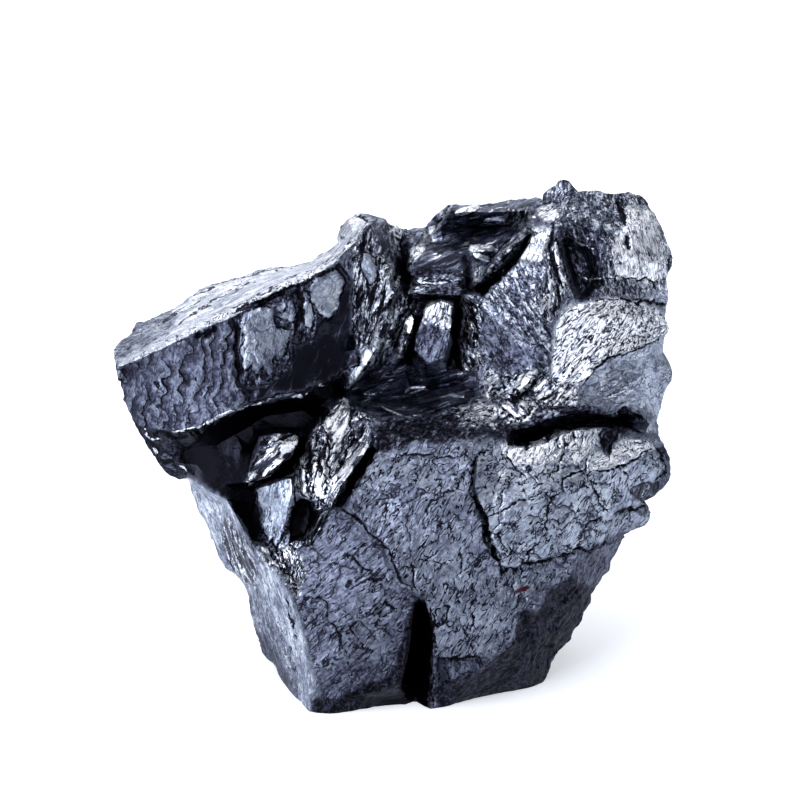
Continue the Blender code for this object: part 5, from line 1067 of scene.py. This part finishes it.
def fine_marks(add, place, grain):
    """The marks too fine for the mesh: flecks, chips, hairlines, flakes and layers."""
    # Cracks wander by about half a millimetre.
    sway = add("TexNoise", {"Vector": place, "Scale": 0.8, "Detail": 3.0}, out="Color")
    shift = add("VectorMath", sway, (1.3,) * 3, place, operation="MULTIPLY_ADD")
    grain_shift = add("VectorMath", sway, (0.45,) * 3, grain, operation="MULTIPLY_ADD")

    # Fine grain: flecks of about 0.4 mm, and broad blotches of about 3 mm.
    flecks = add("TexNoise", {"Vector": place, "Scale": 2.6, "Detail": 4.0, "Roughness": 0.62})
    blotch = add("TexNoise", {"Vector": place, "Scale": 0.35, "Detail": 2.0})

    # Scratches and chips of about 0.4 mm: each chip has painted shading that darkens towards its
    # dark broken edge.
    chipped = add("VectorMath", grain_shift, (0.38, 1.8, 1.2), operation="MULTIPLY")
    chip_noise = add(
        "TexNoise",
        {"Vector": chipped, "Scale": 1.0, "Detail": 2.0, "Roughness": 0.55, "Distortion": 0.5},
    )
    chip_stack = add("Math", chip_noise, 4.0, operation="MULTIPLY")
    chip = add("Math", chip_stack, operation="FRACT")
    chip_edge = add("MapRange", chip, 0.20, 0.32, 1.0, 0.0)
    breaks = add("TexNoise", {"Vector": place, "Scale": 1.1, "Detail": 2.0})
    chip_ends = add("MapRange", breaks, 0.40, 0.45, 0.0, 1.0)
    scratch = add("Math", chip_edge, chip_ends, operation="MULTIPLY")

    # A net of hairline cracks: plates of about 5 mm, with the lines broken up in patches.
    patches = add("TexNoise", {"Vector": shift, "Scale": 0.6, "Detail": 3.0})
    patchy = add("MapRange", patches, 0.47, 0.56, 0.0, 1.0)
    net = add("TexVoronoi", {"Vector": shift, "Scale": 0.2}, feature="DISTANCE_TO_EDGE")
    net_line = add("MapRange", net, 0.0, 0.022, 1.0, 0.0)
    net_slope = add("MapRange", net, 0.0, 0.06, 1.0, 0.0)
    nets = add("Math", net_line, patchy, operation="MULTIPLY")
    nets_relief = add("Math", net_slope, patchy, operation="MULTIPLY")

    # Thin flakes that overlap like shingles, each ending in a dark ragged step.
    flaked = add("VectorMath", grain_shift, (0.6, 1.3, 1.0), operation="MULTIPLY")
    flake_noise = add(
        "TexNoise",
        {"Vector": flaked, "Scale": 0.42, "Detail": 3.0, "Roughness": 0.6, "Distortion": 0.35},
    )
    flake_stack = add("Math", flake_noise, 5.0, operation="MULTIPLY")
    flake = add("Math", flake_stack, operation="FRACT")
    flake_step = add("MapRange", flake, 0.09, 0.17, 1.0, 0.0)
    flake_ends = add("MapRange", flecks, 0.44, 0.50, 0.0, 1.0)
    flake_line = add("Math", flake_step, flake_ends, operation="MULTIPLY")
    coarse_hair = add("Math", nets, flake_line, operation="MAXIMUM")
    scratchy = add("MapRange", patches, 0.60, 0.48, 0.0, 1.0)
    fine_hair = add("Math", scratch, scratchy, operation="MULTIPLY")
    hair = add("Math", coarse_hair, fine_hair, operation="MAXIMUM")

    # Thin layers seen on edge: bands and dark lines with the grain.
    layered = add("VectorMath", grain_shift, (0.32, 2.0, 0.8), operation="MULTIPLY")
    layer_noise = add(
        "TexNoise",
        {"Vector": layered, "Scale": 1.0, "Detail": 4.0, "Roughness": 0.6, "Distortion": 0.5},
    )
    layer_gap = add("Math", layer_noise, 0.5, operation="SUBTRACT")
    layer_near = add("Math", layer_gap, operation="ABSOLUTE")
    layer_line = add("MapRange", layer_near, 0.008, 0.022, 1.0, 0.0)
    return {
        "flecks": flecks, "blotch": blotch, "chip": chip, "chip_ends": chip_ends,
        "scratch": scratch, "nets_relief": nets_relief, "flake": flake, "hair": hair,
        "layer_noise": layer_noise, "layer_near": layer_near, "layer_line": layer_line,
    }


def lightness(add, quality, mark):
    """Lightness with painted light and shade, with where it is glassy and how ragged its borders
    are.
    """
    # The arm's scales get painted light: each is lightest at its standing edge, with a painted
    # shadow line beyond it.
    scale = add("Math", quality["column"], operation="FRACT")
    scale_shadow_line = add("MapRange", scale, 0.84, 0.90, 0.0, 1.0)
    scale_shadow_ends = add("Math", scale_shadow_line, mark["chip_ends"], operation="MULTIPLY")
    scale_painted_shading = add("MapRange", scale, 0.0, 0.9, 0.17, -0.2)
    scale_painted_shadow = add("Math", scale_shadow_ends, quality["scales"], operation="MULTIPLY")
    scale_painted_light = add("Math", scale_painted_shading, quality["scales"], operation="MULTIPLY")

    # The tone: streaks, painted chip shading and flecks about the surface's own lightness, and the
    # scales' painted light, cut by dark lines and the scales' painted shadow lines.
    blotched = add("Math", mark["blotch"], 0.9, 0.55, operation="MULTIPLY_ADD")
    own_tone = add("Math", quality["tone"], blotched, operation="MULTIPLY")
    streak = add(
        "MapRange", mark["layer_noise"], 0.45, 0.50, -1.0, 0.8, interpolation_type="SMOOTHSTEP"
    )
    fleck = add(
        "MapRange", mark["flecks"], 0.43, 0.56, -1.05, 0.25, interpolation_type="SMOOTHSTEP"
    )
    # Painted shading across each chip, on top of the flecks.
    fleck_and_chip_shading = add("Math", mark["chip"], 0.5, fleck, operation="MULTIPLY_ADD")
    tone_with_scale_light = add("Math", own_tone, scale_painted_light, operation="ADD")
    streaks = add("Math", streak, quality["streaks"], tone_with_scale_light, operation="MULTIPLY_ADD")
    varied = add(
        "Math", fleck_and_chip_shading, quality["grit"], streaks, operation="MULTIPLY_ADD", use_clamp=True
    )
    hairs = add("Math", mark["hair"], quality["crazing"], operation="MULTIPLY")
    lines = add("Math", mark["layer_line"], quality["layers"], operation="MULTIPLY")
    grain_marks = add("Math", hairs, lines, operation="MAXIMUM")
    gritty = add("Math", quality["grit"], 3.2, operation="MULTIPLY", use_clamp=True)
    gritty_scratch = add("Math", mark["scratch"], gritty, operation="MULTIPLY")
    scratch_marks = add("Math", grain_marks, gritty_scratch, operation="MAXIMUM")
    all_marks = add("Math", scratch_marks, scale_painted_shadow, operation="MAXIMUM")
    kept = add("Math", all_marks, -0.94, 1.0, operation="MULTIPLY_ADD", use_clamp=True)

    # Slivers get a painted highlight. Borders are ragged by the flecks, and a sliver's only a
    # little.
    ragged = add("Math", mark["flecks"], 1.3, -0.65, operation="MULTIPLY_ADD")
    less_ragged = add("Math", ragged, 0.2, operation="MULTIPLY")
    painted_highlight_edge = add("Math", quality["painted_highlight"], less_ragged, operation="ADD")
    painted_highlight = add("MapRange", painted_highlight_edge, 0.40, 0.48, 0.0, 1.0)
    highlighted_tone = add("MapRange", painted_highlight, 0.0, 1.0, varied, 0.9)
    marked = add("Math", highlighted_tone, kept, operation="MULTIPLY")

    # Glass shows no marks but its painted glints, and painted shade makes the open cracks and
    # the edges of raised areas almost black.
    glass_edge = add("Math", quality["glass"], ragged, operation="ADD")
    glass = add("MapRange", glass_edge, 0.46, 0.54, 0.0, 1.0)
    glass_tone = add("MapRange", glass, 0.0, 1.0, marked, own_tone)
    # Painted glints: bright flecks that stand in for highlights, strongest on the glass.
    painted_glint_spots = add("MapRange", mark["layer_noise"], 0.60, 0.64, 0.0, 1.0)
    painted_glints = add("Math", painted_glint_spots, quality["painted_glints"], operation="MULTIPLY")
    with_painted_glints = add("Math", painted_glints, 0.7, glass_tone, operation="MULTIPLY_ADD")
    dark_edge = add("Math", quality["dark"], ragged, operation="ADD")
    # Painted shade: near black along the open cracks and the raised areas' edges.
    crack = add("MapRange", dark_edge, 0.58, 0.70, 1.0, 0.04)
    shade = add("Math", with_painted_glints, crack, operation="MULTIPLY", use_clamp=True)
    return shade, glass, ragged


def fine_relief(add, quality, mark):
    """The bump of the finest marks, which stand about a fifth of a millimetre."""
    flake_top = add("MapRange", mark["flake"], 0.0, 0.10, 0.0, 1.0)
    flake_slope = add("Math", mark["flake"], -0.5, flake_top, operation="MULTIPLY_ADD")
    flake_relief = add("Math", flake_slope, mark["nets_relief"], operation="SUBTRACT")
    flakes_relief = add("Math", flake_relief, 0.6, operation="MULTIPLY")
    crazed_relief = add("Math", flakes_relief, quality["crazing"], operation="MULTIPLY")
    layered_relief = add("Math", mark["layer_near"], quality["layers"], operation="MULTIPLY")
    broken_relief = add("Math", layered_relief, 1.2, crazed_relief, operation="MULTIPLY_ADD")
    whole_relief = add("Math", mark["flecks"], 0.3, broken_relief, operation="MULTIPLY_ADD")
    return add("Bump", {"Height": whole_relief, "Strength": 1.0, "Distance": 0.00020})


def shungite():
    """Noble shungite: glassy carbon with a half-metallic lustre, from black glass to silver."""
    material = bpy.data.materials.new("noble_shungite_fracture")
    material.use_nodes = True
    tree = material.node_tree
    tree.nodes.clear()

    def add(kind, *inputs, out=0, **settings):
        return node_with(tree, kind, *inputs, **settings).outputs[out]

    quality = {
        name: add("Attribute", attribute_name=name, out="Fac")
        for name in (*QUALITIES, "glass", "dark", "painted_highlight", "rust", "column")
    }
    grain = add("Attribute", attribute_name="grain", out="Vector")
    metres = add("TexCoord", out="Object")
    place = add("VectorMath", metres, (1 / MM,) * 3, operation="MULTIPLY")
    mark = fine_marks(add, place, grain)
    shade, glass, ragged = lightness(add, quality, mark)

    # Its colours run from warm black to silver with a little blue, and iron stains it red.
    ramp = node_with(tree, "ValToRGB", shade)
    steps = ramp.color_ramp.elements
    steps[0].color, steps[1].color = srgb("#07060b"), srgb("#f6f7fc")
    for spot, code in ((0.2, "#363848"), (0.4, "#666c7d"), (0.6, "#9aa3b3"), (0.85, "#dde1e8")):
        steps.new(spot).color = srgb(code)
    rust_edge = add("Math", quality["rust"], ragged, operation="ADD")
    rust = add("MapRange", rust_edge, 0.46, 0.58, 0.0, 1.0)
    colour = add("MixRGB", {"Fac": rust, "Color1": ramp.outputs[0], "Color2": srgb("#3c1a22")})

    own_gloss = add("MapRange", glass, 0.0, 1.0, quality["roughness"], 0.13)
    bump = fine_relief(add, quality, mark)
    shader = add(
        "BsdfPrincipled",
        {
            "Base Color": colour, "Roughness": own_gloss, "Normal": bump, "Metallic": 0.93,
            "Specular Tint": srgb("#e6e8f2"),
        },
    )
    node_with(tree, "OutputMaterial", {"Surface": shader})
    return material


def white_paper():
    """Matt paper under strong light: it glows a little, so that it stays white round the stone."""
    paper = bpy.data.materials.new("white_paper")
    paper.use_nodes = True
    inputs = paper.node_tree.nodes["Principled BSDF"].inputs
    inputs["Base Color"].default_value = srgb("#e9edf2")
    inputs["Roughness"].default_value = 0.9
    inputs["Emission Color"].default_value = srgb("#ffffff")
    inputs["Emission Strength"].default_value = 0.45
    return paper


def lay_floor():
    """A broad sheet of white paper that the stone stands on."""
    half = FLOOR_HALF
    corners = [(-half, -half, 0), (half, -half, 0), (half, half, 0), (-half, half, 0)]
    mesh = bpy.data.meshes.new("floor")
    mesh.from_pydata(corners, [], [(0, 1, 2, 3)])
    mesh.materials.append(white_paper())
    floor = bpy.data.objects.new("floor", mesh)
    bpy.context.scene.collection.objects.link(floor)


def softbox(name, place, side, watts, code):
    """A square soft light, turned to the stone."""
    lamp = bpy.data.lights.new(name, "AREA")
    lamp.size, lamp.energy, lamp.color = side, watts, srgb(code)[:3]
    holder = bpy.data.objects.new(name, lamp)
    holder.location = place
    aim = Vector(STONE_MIDDLE) - Vector(place)
    holder.rotation_euler = aim.to_track_quat("-Z", "Y").to_euler()
    holder.visible_camera = False
    bpy.context.scene.collection.objects.link(holder)


def set_up_studio():
    """The soft lights, a grey room and the camera."""
    for name, (place, side, watts, code) in SOFTBOXES.items():
        softbox(name, place, side, watts, code)
    scene = bpy.context.scene
    scene.world = bpy.data.worlds.new("studio")
    scene.world.use_nodes = True
    room = scene.world.node_tree.nodes["Background"]
    room.inputs["Color"].default_value = srgb("#9a9ea6")
    lens = bpy.data.cameras.new("camera")
    lens.lens, lens.sensor_width = LENS_MM, SENSOR_MM
    lens.clip_start = 0.01
    camera = bpy.data.objects.new("camera", lens)
    camera.location = (Vector(SHEET_CENTRE) + Vector(TO_EYE) * SIGHT_DISTANCE) * MM
    camera.rotation_euler = (math.pi / 2 - SHEET_LEAN, 0, 0)
    scene.collection.objects.link(camera)
    scene.camera = camera
    scene.view_settings.view_transform = "Standard"


nugget = build_stone(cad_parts["shungite_stone"])
nugget.data.materials.append(shungite())
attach(nugget, "root")
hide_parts("shungite_stone")
lay_floor()
set_up_studio()
